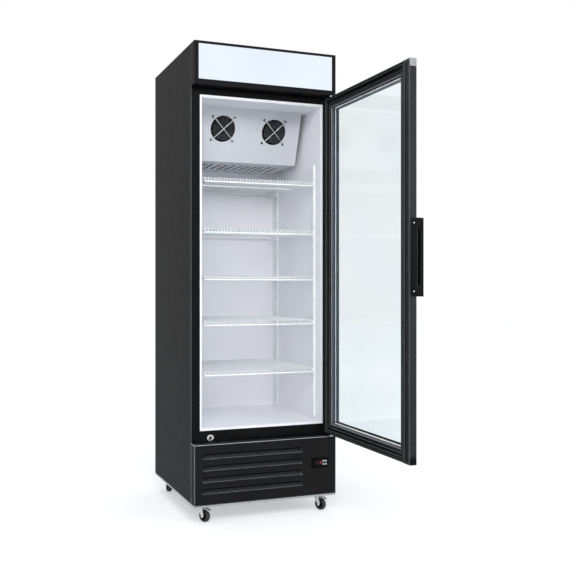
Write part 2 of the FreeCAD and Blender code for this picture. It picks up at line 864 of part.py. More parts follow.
def fan_rotor(centre, axis, radius, hub, height):
    """Moulded axial rotor: a bevelled hub with pitched sector blades."""
    rotor = round_with_flats(V(0, 0, -height / 2), V(0, 0, height), hub, hub_sides)
    rotor = chamfered(rotor, hub / 5, lambda edge: edge.BoundBox.ZMin > height / 2 - fit_gap)
    half_sweep = math.radians(blade_sweep_angle / 2)
    root = hub - 2 * blade_thick
    outline = [V(root, -root * math.tan(half_sweep), -blade_thick / 2)]
    for share in (-1, -1 / 2, 0, 1 / 2, 1):
        angle = half_sweep * share
        outline.append(V(radius * math.cos(angle), radius * math.sin(angle), -blade_thick / 2))
    outline.append(V(root, root * math.tan(half_sweep), -blade_thick / 2))
    blade = prism(outline, V(0, 0, blade_thick))
    blade = turned(blade, V(0, 0, 0), X_AXIS, blade_pitch_angle)
    blades = [turned(blade, V(0, 0, 0), Z_AXIS, number * 360 / blade_count) for number in range(blade_count)]
    rotor = rotor.fuse(blades)
    bore = Part.makeCylinder(motor_shaft_radius + fit_gap, height, V(0, 0, -height), Z_AXIS)
    rotor = rotor.cut(bore)
    return placed_on_axis(rotor, centre, axis)


def placed_on_axis(shape, centre, axis):
    """Stands a shape that was made along +Z at a centre, with its +Z along an axis."""
    copy = shape.copy()
    copy.Placement = FreeCAD.Placement(centre, FreeCAD.Rotation(Z_AXIS, axis))
    return copy


def rotor_centre(side):
    """Middle of an evaporator fan rotor, behind the cover."""
    return fan_centre(side) - fan_axis * (sheet + fan_set_back)


def fan_motor(centre, axis, ring_radius, ring_back):
    """Motor behind a rotor with its shaft, three arms and the ring that screws to the cover."""
    front = -blade_reach(evaporator_blade_radius) - motor_gap
    body = round_with_flats(V(0, 0, front - motor_length), V(0, 0, motor_length), motor_radius, motor_sides)
    body = chamfered(body, motor_gap, lambda edge: edge.BoundBox.ZMax < front - motor_length + fit_gap)
    shaft = Part.makeCylinder(motor_shaft_radius, motor_shaft_grip - hub_height / 2 - front,
                              V(0, 0, front), Z_AXIS)
    arms = []
    for number in range(motor_arm_count):
        arm = block(motor_radius - motor_arm_thick, ring_radius, -motor_arm_width / 2, motor_arm_width / 2,
                    front - motor_arm_thick, front)
        post = block(ring_radius - motor_arm_thick, ring_radius, -motor_arm_width / 2, motor_arm_width / 2,
                     front - motor_arm_thick, ring_back)
        arms.append(turned(arm.fuse(post), V(0, 0, 0), Z_AXIS, 90 + number * 360 / motor_arm_count))
    ring = round_with_flats(V(0, 0, ring_back - motor_ring_width), V(0, 0, motor_ring_width), ring_radius,
                            ring_sides)
    ring_bore = round_with_flats(V(0, 0, ring_back - motor_ring_width - overrun),
                                 V(0, 0, motor_ring_width + 2 * overrun), ring_radius - motor_ring_width, ring_sides)
    motor = body.fuse([shaft, ring.cut(ring_bore)] + arms).removeSplitter()
    return placed_on_axis(motor, centre, axis)


def return_bend(middle, radius, tube):
    """A U of tube standing upright on the +X side of an end plate, its legs one bend apart."""
    points = []
    for number in range(bend_steps + 1):
        angle = math.pi * (number / bend_steps - 1 / 2)
        points.append(middle + V(radius * math.cos(angle), 0, radius * math.sin(angle)))
    return flat_wire(points, tube, Y_AXIS)


def evaporator_coil():
    """Finned block with end plates and return bends, hung from the ceiling behind the cover."""
    z1 = opening_top - coil_gap_top
    z0 = z1 - coil_height
    y1 = liner_back - liner_corner
    y0 = y1 - coil_depth
    block_body = block(-coil_half_width + coil_bend_radius, coil_half_width - coil_bend_radius, y0, y1, z0, z1)
    plates = []
    for sign in (-1, 1):
        x = sign * (coil_half_width - coil_bend_radius)
        plates.append(block(min(x, x + sign * coil_end_plate), max(x, x + sign * coil_end_plate),
                            y0 - coil_end_plate, y1, z0 - coil_end_plate, z1 + coil_end_plate))
        hanger = x - sign * coil_bracket_width
        plates.append(block(min(x, hanger), max(x, hanger), y0, y1, z1, opening_top))
    bends = []
    pitch = coil_depth / coil_bend_count
    for number in range(coil_bend_count):
        x = coil_half_width - coil_bend_radius + coil_end_plate
        middle = V(x, y0 + pitch * (number + 1 / 2), (z0 + z1) / 2)
        bends.append(return_bend(middle, coil_bend_radius, coil_tube_radius))
    return block_body.fuse(plates + bends).removeSplitter()


def shelf_standards():
    """Four slotted channels on the side walls."""
    channels = []
    for sign in (-1, 1):
        for y in (standard_front_y, standard_rear_y):
            wall = sign * half_opening
            face = sign * (half_opening - standard_depth)
            channel = block(min(wall, face), max(wall, face), y - standard_width / 2, y + standard_width / 2,
                            standard_bottom, standard_top)
            cutters = []
            count = int((standard_top - standard_bottom) / slot_pitch)
            for number in range(count):
                z = standard_bottom + (number + 1 / 2) * slot_pitch
                inner = sign * (half_opening - standard_depth + slot_depth)
                outer = sign * (half_opening - standard_depth - overrun)
                cutters.append(block(min(inner, outer), max(inner, outer), y - slot_width / 2, y + slot_width / 2,
                                     z - slot_height / 2, z + slot_height / 2))
            channels.append(channel.cut(cutters))
    return Part.makeCompound(channels)


def shelf_clips():
    """Four small hooked brackets under each shelf."""
    clips = []
    face = half_opening - standard_depth
    for level in shelf_levels:
        top = level - shelf_wire_radius - 2 * shelf_bar_radius
        for y in (standard_front_y, standard_rear_y):
            outline = [
                V(face, y - clip_width / 2, top + clip_height / 2),
                V(face, y - clip_width / 2, top - clip_height),
                V(face - clip_sheet, y - clip_width / 2, top - clip_height),
                V(face - clip_reach, y - clip_width / 2, top - clip_sheet),
                V(face - clip_reach, y - clip_width / 2, top),
                V(face - clip_sheet, y - clip_width / 2, top),
                V(face - clip_sheet, y - clip_width / 2, top + clip_height / 2),
            ]
            clip = prism(outline, V(0, clip_width, 0))
            clips.append(clip)
            clips.append(clip.mirror(V(0, 0, 0), X_AXIS))
    return Part.makeCompound(clips)


def wire_shelf(level):
    """One shelf: thin deck wires bent down in front, welded on a front bar and the bars below."""
    wire = shelf_wire_radius / math.cos(math.pi / deck_sides)
    bar = shelf_bar_radius / math.cos(math.pi / wire_sides)
    bar_z = level - shelf_wire_radius - shelf_bar_radius
    front_bar_z = level - shelf_front_drop - shelf_bar_radius
    left = -shelf_half_width
    bars = []
    rails = [(shelf_front_y, front_bar_z)]
    for share in (0, shelf_cross_share):
        rails.append((shelf_rear_y - shelf_bar_radius + (shelf_front_y - shelf_rear_y) * share, bar_z))
    for y, z in rails:
        bars.append(flat_wire([V(left, y, z), V(-left, y, z)], bar, Y_AXIS))
    side_x = shelf_half_width - shelf_bar_radius
    side_start = shelf_front_y + 2 * shelf_bar_radius
    for sign in (-1, 1):
        x = sign * side_x
        rear_end = shelf_rear_y - 2 * shelf_bar_radius
        middle = shelf_rear_y - shelf_bar_radius + (shelf_front_y - shelf_rear_y) * shelf_cross_share
        for y0, y1 in ((side_start, middle - shelf_bar_radius), (middle + shelf_bar_radius, rear_end)):
            bars.append(flat_wire([V(x, y0, bar_z), V(x, y1, bar_z)], bar, X_AXIS))
    deck = flat_wire([V(0, shelf_rear_y, level), V(0, shelf_front_y, level),
                      V(0, shelf_front_y, front_bar_z + shelf_bar_radius)], wire, X_AXIS, deck_sides)
    pitch = 2 * side_x / (shelf_wire_count - 1)
    wires = [moved(deck, V(-side_x + number * pitch, 0, 0)) for number in range(shelf_wire_count)]
    return Part.makeCompound(bars + wires)


def hinge_bracket(plate_z, leg_sign, pin_sign):
    """Zinc angle bracket with a riveted pin: the leg is screwed to the face frame."""
    x0 = hinge_x - hinge_plate_width / 2
    x1 = half_width - shell_sheet - fit_gap
    plate = block(x0, x1, hinge_y - hinge_from_front + seat_gap, face_y, plate_z, plate_z + hinge_plate)
    plate = rounded(plate, bush_radius, lambda edge: along(edge, Z_AXIS) and edge.BoundBox.YMax < hinge_y)
    base = plate_z if leg_sign < 0 else plate_z + hinge_plate
    leg = block(x0, x1, face_y - hinge_leg_sheet, face_y,
                min(base, base + leg_sign * hinge_leg_height), max(base, base + leg_sign * hinge_leg_height))
    start = plate_z if pin_sign < 0 else plate_z + hinge_plate
    pin = rod(V(hinge_x, hinge_y, start), V(hinge_x, hinge_y, start + pin_sign * hinge_pin_reach), hinge_pin_radius)
    return plate.fuse([leg, pin]).removeSplitter()


def bush_bore(sign):
    """Cutter for the seat of a hinge bush in a door rail."""
    edge = door_bottom if sign > 0 else door_top
    return rod(V(hinge_x, hinge_y, edge - sign * overrun),
               V(hinge_x, hinge_y, edge + sign * (hinge_pin_reach + seat_gap)), bush_radius + fit_gap / 2)


def hinge_bush(sign):
    """Flanged nylon bush: its flange fills the gap between bracket and door."""
    edge = door_bottom if sign > 0 else door_top
    sleeve = rod(V(hinge_x, hinge_y, edge), V(hinge_x, hinge_y, edge + sign * hinge_pin_reach), bush_radius)
    flange_thick = door_end_gap - hinge_plate - seat_gap
    flange = rod(V(hinge_x, hinge_y, edge - sign * flange_thick), V(hinge_x, hinge_y, edge), bush_flange_radius)
    bore = rod(V(hinge_x, hinge_y, edge - sign * overrun), V(hinge_x, hinge_y, edge + sign * 2 * overrun),
               hinge_pin_radius + hinge_running_gap)
    return sleeve.fuse(flange).cut(bore).removeSplitter()


def stile_section():
    """Door frame section as (distance in from the door's edge, depth from its front face)."""
    pack = 3 * pane_thick + 2 * pane_gap
    rebate_front = stile_front_lip
    rebate_back = rebate_front + pack + 2 * pane_bedding
    groove = gasket_inset + (gasket_width - gasket_root_width) / 2
    chamfer = stile_edge_radius
    return [
        (0, chamfer),
        (chamfer, 0),
        (stile_front_width - stile_front_lip / 2, 0),
        (stile_front_width, stile_front_lip / 2),
        (stile_front_width, rebate_front),
        (stile_rebate, rebate_front),
        (stile_rebate, rebate_back),
        (stile_back_width, rebate_back),
        (stile_back_width - stile_back_lip, door_thickness - stile_step_depth),
        (stile_step, door_thickness - stile_step_depth),
        (stile_step - stile_step_depth, door_thickness),
        (groove + gasket_root_width + gasket_groove_gap, door_thickness),
        (groove + gasket_root_width + gasket_groove_gap, door_thickness - gasket_root_depth - gasket_groove_gap),
        (groove - gasket_groove_gap, door_thickness - gasket_root_depth - gasket_groove_gap),
        (groove - gasket_groove_gap, door_thickness),
        (chamfer, door_thickness),
        (0, door_thickness - chamfer),
    ]


def door_frame():
    """Two rails and two stiles of one extruded section, mitred at the corners."""
    bottom, top, left, right = door_ring(stile_section(), stile_front_width, 0)
    bottom = bottom.cut(bush_bore(1))
    top = top.cut(bush_bore(-1))
    bores = [bush_bore(1), bush_bore(-1)]
    right = right.cut(bores)
    return Part.makeCompound([swing(member) for member in (bottom, top, left, right)])


def gasket_section():
    """Magnetic gasket: a root in the groove, a waisted bellows and a flat head."""
    outer = gasket_inset
    inner = gasket_inset + gasket_width
    groove = gasket_inset + (gasket_width - gasket_root_width) / 2
    foot = door_thickness + gasket_foot
    head = door_thickness + gasket_reach - gasket_head
    top = door_thickness + gasket_reach
    soft = gasket_waist / 2
    return [
        (outer, door_thickness),
        (outer, foot),
        (outer + gasket_waist, (foot + head) / 2),
        (outer, head),
        (outer, top - soft),
        (outer + soft, top),
        (inner - soft, top),
        (inner, top - soft),
        (inner, head),
        (inner - gasket_waist, (foot + head) / 2),
        (inner, foot),
        (inner, door_thickness),
        (groove + gasket_root_width, door_thickness),
        (groove + gasket_root_width, door_thickness - gasket_root_depth),
        (groove, door_thickness - gasket_root_depth),
        (groove, door_thickness),
    ]


def door_gasket():
    """Closed rubber ring on the inner face of the door."""
    members = door_ring(gasket_section(), stile_front_width, 0)
    return swing(members[0].fuse(members[1:]).removeSplitter())


def glass_panes():
    """Three panes of the insulating glass unit."""
    panes = []
    for number in range(3):
        y = front_y + stile_front_lip + pane_bedding + number * (pane_thick + pane_gap)
        panes.append(block(door_left + glass_edge, door_right - glass_edge, y, y + pane_thick,
                           door_bottom + glass_edge, door_top - glass_edge))
    return Part.makeCompound([swing(pane) for pane in panes])


def glass_spacers():
    """Two rectangular spacer rings between the panes."""
    rings = []
    outer = glass_edge + spacer_inset
    inner = outer + spacer_width
    for number in range(2):
        y = front_y + stile_front_lip + pane_bedding + pane_thick + number * (pane_thick + pane_gap)
        ring = block(door_left + outer, door_right - outer, y, y + pane_gap, door_bottom + outer, door_top - outer)
        hole = block(door_left + inner, door_right - inner, y - overrun, y + overrun,
                     door_bottom + inner, door_top - inner)
        rings.append(swing(ring.cut(hole)))
    return Part.makeCompound(rings)


def door_caps():
    """Corner caps over the mitred ends at the free edge, top and bottom."""
    caps = []
    for edge, sign in ((door_bottom, 1), (door_top, -1)):
        z0 = edge - sign * corner_cap_sheet
        z1 = edge + sign * corner_cap_height
        side = block(door_left - corner_cap_sheet, door_left, front_y + stile_edge_radius,
                     front_y + door_thickness - stile_edge_radius, min(z0, z1), max(z0, z1))
        end = block(door_left, door_left + corner_cap_reach, front_y + stile_edge_radius,
                    front_y + door_thickness - stile_edge_radius, min(edge, z0), max(edge, z0))
        caps.append(swing(side.fuse(end).removeSplitter()))
    return Part.makeCompound(caps)


def door_handle():
    """Pull handle: a flange on the door's free edge, a finger slot and a rounded grip."""
    x1 = door_left
    x0 = x1 - handle_plate
    y_in = front_y + handle_flange
    y_slot = front_y - handle_gap_width
    y_out = y_slot - handle_grip_width
    z0 = handle_bottom
    z1 = handle_bottom + handle_length
    plate = block(x0, x1, y_slot, y_in, z0, z1)
    plate = rounded(plate, handle_corner, lambda edge: along(edge, X_AXIS) and edge.BoundBox.YMin > y_in - fit_gap)
    grip = block(x0, x0 + handle_grip_thick, y_out, y_slot, z0, z1)
    grip = rounded(grip, handle_corner, lambda edge: along(edge, Z_AXIS) and edge.BoundBox.YMax < y_out + fit_gap)
    for z in (z0, z1):
        z_inner = z + (handle_slot_end if z == z0 else -handle_slot_end)
        grip = grip.fuse(block(x0, x0 + handle_plate, y_slot, front_y, min(z, z_inner), max(z, z_inner)))
    slot = block(x0 - overrun, x1 + overrun, y_slot, front_y - seat_gap, z0 + handle_slot_end, z1 - handle_slot_end)
    slot = rounded(slot, handle_corner, lambda edge: along(edge, X_AXIS))
    return swing(plate.fuse(grip).cut(slot).removeSplitter())


def handle_screws():
    """Two pan-head screws through the handle's flange into the stile."""
    screws = []
    y = front_y + handle_flange / 2
    x = door_left - handle_plate
    for z in (handle_bottom + handle_screw_inset, handle_bottom + handle_length - handle_screw_inset):
        head = round_with_flats(V(x - screw_head, y, z), V(screw_head, 0, 0), screw_radius, hub_sides)
        head = chamfered(head, screw_head / 2, lambda edge: edge.BoundBox.XMax < x - screw_head + fit_gap)
        screws.append(swing(head))
    return Part.makeCompound(screws)


def base_frame():
    """Galvanised pan under the machine compartment with a rim turned down all round."""
    pan = block(-inner_half, inner_half, front_y + shell_sheet, back_y - sheet,
                body_bottom - base_rim, body_bottom)
    under = block(-inner_half + base_sheet, inner_half - base_sheet, front_y + shell_sheet + base_sheet,
                  back_y - sheet - base_sheet, body_bottom - base_rim - overrun, body_bottom - base_sheet)
    cutters = [under]
    for x, y, angle in caster_places():
        cutters.append(rod(V(x, y, body_bottom - overrun), V(x, y, body_bottom + overrun),
                           kingpin_radius + 2 * fit_gap))
    return pan.cut(cutters)


def compressor():
    """Hermetic pot with a weld seam and its foot plate, drawn with flats."""
    base = body_bottom + compressor_foot_height
    bottom = base + compressor_plate
    pot = round_with_flats(V(0, 0, bottom), V(0, 0, compressor_height), compressor_radius, pot_sides)
    pot = chamfered(pot, compressor_crown, lambda edge: edge.BoundBox.ZMin > bottom + compressor_height - fit_gap)
    seam = round_with_flats(V(0, 0, bottom + compressor_height * compressor_seam_share), V(0, 0, compressor_seam),
                            compressor_radius + compressor_seam, pot_sides)
    plate = block(-compressor_plate_half, compressor_plate_half, -compressor_plate_half, compressor_plate_half,
                  base, base + compressor_plate)
    plate = chamfered(plate, compressor_foot_radius, lambda edge: along(edge, Z_AXIS))
    return moved(pot.fuse([seam, plate]).removeSplitter(), V(compressor_x, compressor_y, 0))


def compressor_feet():
    """Four rubber mounts under the compressor's foot plate."""
    feet = []
    for x in (-compressor_foot_inset, compressor_foot_inset):
        for y in (-compressor_foot_inset, compressor_foot_inset):
            place = V(compressor_x + x, compressor_y + y, body_bottom)
            collar = V(0, 0, compressor_foot_height / 3)
            foot = round_with_flats(place, collar * 3, compressor_foot_radius * compressor_foot_waist_share, boss_sides)
            lower = round_with_flats(place, collar, compressor_foot_radius, boss_sides)
            feet.append(foot.fuse([lower, moved(lower, collar * 2)]).removeSplitter())
    return Part.makeCompound(feet)


def condenser_coil():
    """Finned coil behind the louvred panel with return bends at one side."""
    z0 = body_bottom
    z1 = z0 + condenser_height
    y0 = condenser_y - condenser_depth / 2
    core_y0 = condenser_y - condenser_core_depth / 2
    core = block(condenser_x - condenser_half_width, condenser_x + condenser_half_width, core_y0,
                 core_y0 + condenser_core_depth, z0 + condenser_fin_thick, z1 - condenser_fin_thick)
    fins = []
    pitch = 2 * condenser_half_width / (condenser_fin_count - 1)
    for number in range(condenser_fin_count):
        x = condenser_x - condenser_half_width + number * pitch - condenser_fin_thick / 2
        fins.append(block(x, x + condenser_fin_thick, y0, y0 + condenser_depth, z0, z1))
    bends = []
    x = condenser_x + condenser_half_width + condenser_fin_thick / 2
    step = condenser_height / condenser_bend_count
    for number in range(condenser_bend_count):
        middle = V(x, condenser_y, z0 + step * (number + 1 / 2))
        bends.append(return_bend(middle, condenser_bend_radius, condenser_tube_radius))
    return core.fuse(fins + bends).removeSplitter()


def condenser_fan_centre():
    """Middle of the condenser fan rotor, behind the coil."""
    y = condenser_y + condenser_depth / 2 + condenser_plate + condenser_ring_depth / 2
    return V(condenser_x, y, body_bottom + condenser_height / 2)


def condenser_fan_frame():
    """Plate and ring round the condenser fan, with the motor on three arms."""
    centre = condenser_fan_centre()
    y0 = condenser_y + condenser_depth / 2
    ring_radius = condenser_fan_radius + condenser_ring_clearance
    plate = block(condenser_x - condenser_half_width, condenser_x + condenser_half_width, y0, y0 + condenser_plate,
                  body_bottom, body_bottom + condenser_height)
    ring = Part.makeCylinder(ring_radius + condenser_plate, condenser_ring_depth + condenser_plate,
                             V(centre.x, y0, centre.z), Y_AXIS)
    bore = Part.makeCylinder(ring_radius, condenser_ring_depth + 2 * overrun,
                             V(centre.x, y0 - overrun, centre.z), Y_AXIS)
    front = blade_reach(condenser_fan_radius) + motor_gap
    motor_y = centre.y + front
    body = round_with_flats(V(centre.x, motor_y, centre.z), V(0, motor_length, 0), motor_radius, motor_sides)
    shaft_length = front - hub_height / 2 + motor_shaft_grip
    shaft = Part.makeCylinder(motor_shaft_radius, shaft_length, V(centre.x, motor_y - shaft_length, centre.z), Y_AXIS)
    arms = []
    ring_end = y0 + condenser_ring_depth + condenser_plate
    for number in range(motor_arm_count):
        arm = block(motor_radius - motor_arm_thick, ring_radius + condenser_plate, motor_y,
                    motor_y + motor_arm_thick, -motor_arm_width / 2, motor_arm_width / 2)
        post = block(ring_radius, ring_radius + condenser_plate, min(ring_end, motor_y) - motor_arm_thick,
                     motor_y + motor_arm_thick, -motor_arm_width / 2, motor_arm_width / 2)
        arm = turned(arm.fuse(post), V(0, 0, 0), Y_AXIS, 90 + number * 360 / motor_arm_count)
        arms.append(moved(arm, V(centre.x, 0, centre.z)))
    return plate.fuse(ring).cut(bore).fuse([body, shaft] + arms).removeSplitter()


def drain_pan():
    """Open tray that catches and evaporates the defrost water."""
    x0 = -half_width + drain_pan_side_gap
    x1 = compressor_x - compressor_plate_half - drain_pan_compressor_gap
    y1 = back_y - drain_pan_back_gap
    y0 = y1 - drain_pan_depth
    tray = block(x0, x1, y0, y1, body_bottom, body_bottom + drain_pan_height)
    tray = chamfered(tray, drain_pan_corner, lambda edge: along(edge, Z_AXIS))
    room = block(x0 + drain_pan_sheet, x1 - drain_pan_sheet, y0 + drain_pan_sheet, y1 - drain_pan_sheet,
                 body_bottom + drain_pan_sheet, body_bottom + drain_pan_height + overrun)
    room = chamfered(room, drain_pan_corner - drain_pan_sheet, lambda edge: along(edge, Z_AXIS))
    return tray.cut(room)


def eased(points, trim):
    """The same route with each corner cut off by a short slanting run."""
    route = [points[0]]
    for before, corner, after in zip(points, points[1:], points[2:]):
        route.append(corner - (corner - before).normalize() * trim)
        route.append(corner + (after - corner).normalize() * trim)
    return route + [points[-1]]


def refrigerant_pipe():
    """Copper discharge line from the compressor's top to the condenser's upper corner."""
    base = body_bottom + compressor_foot_height + compressor_plate
    side = compressor_x + compressor_radius
    out_z = base + compressor_height / 3
    top_z = foam_bottom - 2 * pipe_bend
    x_run = side + 2 * pipe_bend
    end_y = condenser_y + condenser_depth / 2 - condenser_fin_thick
    end_x = condenser_x + condenser_half_width + condenser_bend_radius + condenser_tube_radius + pipe_bend
    end_z = body_bottom + condenser_height - pipe_bend / 2
    points = [
        V(side, compressor_y, out_z),
        V(x_run, compressor_y, out_z),
        V(x_run, compressor_y, top_z),
        V(x_run, end_y, top_z),
        V(end_x, end_y, top_z),
        V(end_x, end_y, end_z),
        V(condenser_x + condenser_half_width + condenser_fin_thick / 2, end_y, end_z),
    ]
    return flat_wire(eased(points, pipe_bend / 2), pipe_radius, Y_AXIS)


def electrical_box():
    """Closed control box on the base pan with a lapped lid."""
    x0 = half_width - box_side_gap - box_width
    y0 = front_y + box_from_front - box_depth / 2
    lid_z = body_bottom + box_height - 2 * box_lid_lap
    body = block(x0, x0 + box_width, y0, y0 + box_depth, body_bottom, lid_z)
    body = chamfered(body, box_corner, lambda edge: along(edge, Z_AXIS))
    lid = block(x0 - box_lid_lap, x0 + box_width + box_lid_lap, y0 - box_lid_lap, y0 + box_depth + box_lid_lap,
                lid_z, body_bottom + box_height)
    lid = chamfered(lid, box_corner + box_lid_lap, lambda edge: along(edge, Z_AXIS))
    return body.fuse(lid).removeSplitter()


def caster_places():
    """Kingpin place and trail direction of each caster: front left, front right, rear left, rear right."""
    return [
        (-caster_x, caster_front_y, front_trail_angle),
        (caster_x, caster_front_y, front_trail_angle),
        (-caster_x, caster_rear_y, rear_trail_angle),
        (caster_x, caster_rear_y, rear_trail_angle),
    ]


def plate_bottom():
    """Underside of the caster plates."""
    return body_bottom - base_sheet - caster_plate_sheet


def caster_plates():
    """Four mounting plates with their bearing race and kingpin."""
    plates = []
    low = plate_bottom()
    for x, y, angle in caster_places():
        plate = block(-caster_plate_half, caster_plate_half, -caster_plate_half, caster_plate_half,
                      low, low + caster_plate_sheet)
        plate = chamfered(plate, caster_plate_corner, lambda edge: along(edge, Z_AXIS))
        race = round_with_flats(V(0, 0, low - race_height), V(0, 0, race_height), race_radius, ring_sides)
        pin_low = low - race_height - race_gap - fork_sheet - race_gap
        pin = Part.makeCylinder(kingpin_radius, low - pin_low, V(0, 0, pin_low), Z_AXIS)
        head = round_with_flats(V(0, 0, pin_low - axle_end), V(0, 0, axle_end), kingpin_radius + 2 * axle_end,
                                boss_sides)
        bolts = []
        for bx in (-caster_bolt_inset, caster_bolt_inset):
            for by in (-caster_bolt_inset, caster_bolt_inset):
                bolts.append(round_with_flats(V(bx, by, low), V(0, 0, -bolt_head), bolt_radius, wire_sides))
        whole = plate.fuse([race, pin, head] + bolts).removeSplitter()
        plates.append(moved(whole, V(x, y, 0)))
    return Part.makeCompound(plates)


def caster_fork(place):
    """Pressed fork: a round top, two tapered legs and the axle bolt across them."""
    x, y, angle = place
    top = plate_bottom() - race_height - race_gap
    disc = round_with_flats(V(0, 0, top - fork_sheet), V(0, 0, fork_sheet), fork_top_radius, ring_sides)
    hole = Part.makeCylinder(kingpin_radius + kingpin_gap, fork_sheet + 2 * overrun,
                             V(0, 0, top - fork_sheet - overrun), Z_AXIS)
    inside = wheel_hub_width / 2 + fork_inside_gap
    outside = inside + fork_sheet
    end = axle_end_radius
    bridge = block(-fork_shoulder, fork_shoulder, -outside, outside, top - fork_sheet, top)
    leg_outline = [
        V(-fork_shoulder, 0, top - fork_sheet),
        V(-fork_shoulder, 0, top - 2 * fork_sheet),
        V(caster_trail - end, 0, wheel_radius),
        V(caster_trail, 0, wheel_radius - end),
        V(caster_trail + end, 0, wheel_radius),
        V(caster_trail + end, 0, wheel_radius + end),
        V(fork_shoulder, 0, top - 3 * fork_sheet),
        V(fork_shoulder, 0, top - fork_sheet),
    ]
    legs = []
    for start in (inside, -outside):
        legs.append(moved(prism(leg_outline, V(0, fork_sheet, 0)), V(0, start, 0)))
    fork = disc.fuse([bridge] + legs).cut(hole)
    axle = Part.makeCylinder(axle_radius, 2 * outside, V(caster_trail, -outside, wheel_radius), Y_AXIS)
    heads = []
    for start in (outside, -outside - axle_end):
        heads.append(round_with_flats(V(caster_trail, start, wheel_radius), V(0, axle_end, 0),
                                      axle_end_radius - fit_gap, wire_sides))
    whole = fork.fuse([axle] + heads).removeSplitter()
    return moved(turned(whole, V(0, 0, 0), Z_AXIS, angle), V(x, y, 0))


def caster_wheel(place):
    """Rubber wheel with a round tread and a proud hub, bored for the axle."""
    x, y, angle = place
    tread = Part.makeCylinder(wheel_radius, wheel_width, V(0, -wheel_width / 2, 0), Y_AXIS)
    hub = round_with_flats(V(0, -wheel_hub_width / 2, 0), V(0, wheel_hub_width, 0), wheel_hub_radius, motor_sides)
    bore = Part.makeCylinder(axle_radius + axle_gap, wheel_hub_width + 2 * overrun,
                             V(0, -wheel_hub_width / 2 - overrun, 0), Y_AXIS)
    wheel = moved(tread.fuse(hub).cut(bore), V(caster_trail, 0, wheel_radius))
    return moved(turned(wheel, V(0, 0, 0), Z_AXIS, angle), V(x, y, 0))


def brake_pedal(place):
    """Foot lever of a front caster: a bent tread between the legs on its own cross pin."""
    x, y, angle = place
    pivot = V(pedal_pivot_forward, 0, pedal_pivot_height)
    pin = Part.makeCylinder(pedal_pivot_radius, wheel_hub_width, pivot - Y_AXIS * (wheel_hub_width / 2), Y_AXIS)
    half = pedal_width / 2
    z = pedal_pivot_height
    outline = [
        V(pedal_pivot_forward - pedal_pivot_radius, -half, z + pedal_sheet / 2),
        V(pedal_pivot_forward - pedal_pivot_radius, -half, z - pedal_sheet / 2),
        V(pedal_pivot_forward + pedal_length * 2 / 3, -half, z - pedal_sheet / 2),
        V(pedal_pivot_forward + pedal_length, -half, z - pedal_drop - pedal_sheet / 2),
        V(pedal_pivot_forward + pedal_length, -half, z - pedal_drop + pedal_sheet / 2),
        V(pedal_pivot_forward + pedal_length * 2 / 3, -half, z + pedal_sheet / 2),
    ]
    lever = prism(outline, V(0, pedal_width, 0))
    lever = chamfered(lever, pedal_corner, lambda edge: along(edge, Z_AXIS)
                      and edge.BoundBox.XMin > pedal_pivot_forward + pedal_length - fit_gap)
    whole = lever.fuse(pin).removeSplitter()
    return moved(turned(whole, V(0, 0, 0), Z_AXIS, angle), V(x, y, 0))


front_left, front_right, rear_left, rear_right = caster_places()
buttons = button_places()

nodes = {
    "base_frame": base_frame(),
    "outer_shell": outer_shell(),
    "back_panel": back_panel(),
    "cord_gland": cord_gland(),
    "insulation": insulation(),
    "inner_liner": inner_liner(),
    "face_frame": face_frame(),
    "canopy_housing": canopy_housing(),
    "canopy_panel": canopy_panel(),
    "canopy_leds": canopy_leds(),
    "grille_panel": grille_panel(),
    "controller_bezel": controller_bezel(),
    "lock_body": lock_body(),
    "lock_plug": lock_plug(),
    "evaporator_cover": evaporator_cover(),
    "fan_guards": Part.makeCompound([cross_guard(-1), cross_guard(1)]),
    "evaporator_fan_left": fan_rotor(rotor_centre(-1), fan_axis, evaporator_blade_radius, hub_radius, hub_height),
    "evaporator_fan_right": fan_rotor(rotor_centre(1), fan_axis, evaporator_blade_radius, hub_radius, hub_height),
    "evaporator_fan_motors": Part.makeCompound([
        fan_motor(rotor_centre(side), fan_axis, motor_ring_radius, fan_set_back) for side in (-1, 1)
    ]),
    "evaporator_coil": evaporator_coil(),
    "shelf_standards": shelf_standards(),
    "shelf_clips": shelf_clips(),
    "top_hinge_bracket": hinge_bracket(canopy_bottom - hinge_plate, 1, -1),
    "bottom_hinge_bracket": hinge_bracket(ledge_height, -1, 1),
    "hinge_bushes": Part.makeCompound([swing(hinge_bush(1)), swing(hinge_bush(-1))]),
    "door_frame": door_frame(),
    "door_gasket": door_gasket(),
    "glass_panes": glass_panes(),
    "glass_spacers": glass_spacers(),
    "door_caps": door_caps(),
    "door_handle": door_handle(),
    "handle_screws": handle_screws(),
    "compressor": compressor(),
    "compressor_feet": compressor_feet(),
    "condenser_coil": condenser_coil(),
    "condenser_fan_frame": condenser_fan_frame(),
    "condenser_fan_blades": fan_rotor(condenser_fan_centre(), -Y_AXIS, condenser_fan_radius, hub_radius, hub_height),
    "drain_pan": drain_pan(),
    "refrigerant_pipe": refrigerant_pipe(),
    "electrical_box": electrical_box(),
    "caster_plates": caster_plates(),
    "caster_fork_front_left": caster_fork(front_left),
    "caster_fork_front_right": caster_fork(front_right),
    "caster_fork_rear_left": caster_fork(rear_left),
    "caster_fork_rear_right": caster_fork(rear_right),
    "caster_wheel_front_left": caster_wheel(front_left),
    "caster_wheel_front_right": caster_wheel(front_right),
    "caster_wheel_rear_left": caster_wheel(rear_left),
    "caster_wheel_rear_right": caster_wheel(rear_right),
    "brake_pedal_left": brake_pedal(front_left),
    "brake_pedal_right": brake_pedal(front_right),
}
for number, level in enumerate(shelf_levels):
    nodes["shelf_%d" % (number + 1)] = wire_shelf(level)
for number, place in enumerate(buttons):
    nodes["controller_button_%d" % (number + 1)] = controller_button(place)

for name, shape in nodes.items():
    shape.exportStep("parts/%s.step" % name)
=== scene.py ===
import json
import math

import bmesh
import bpy
from mathutils import Matrix, Vector


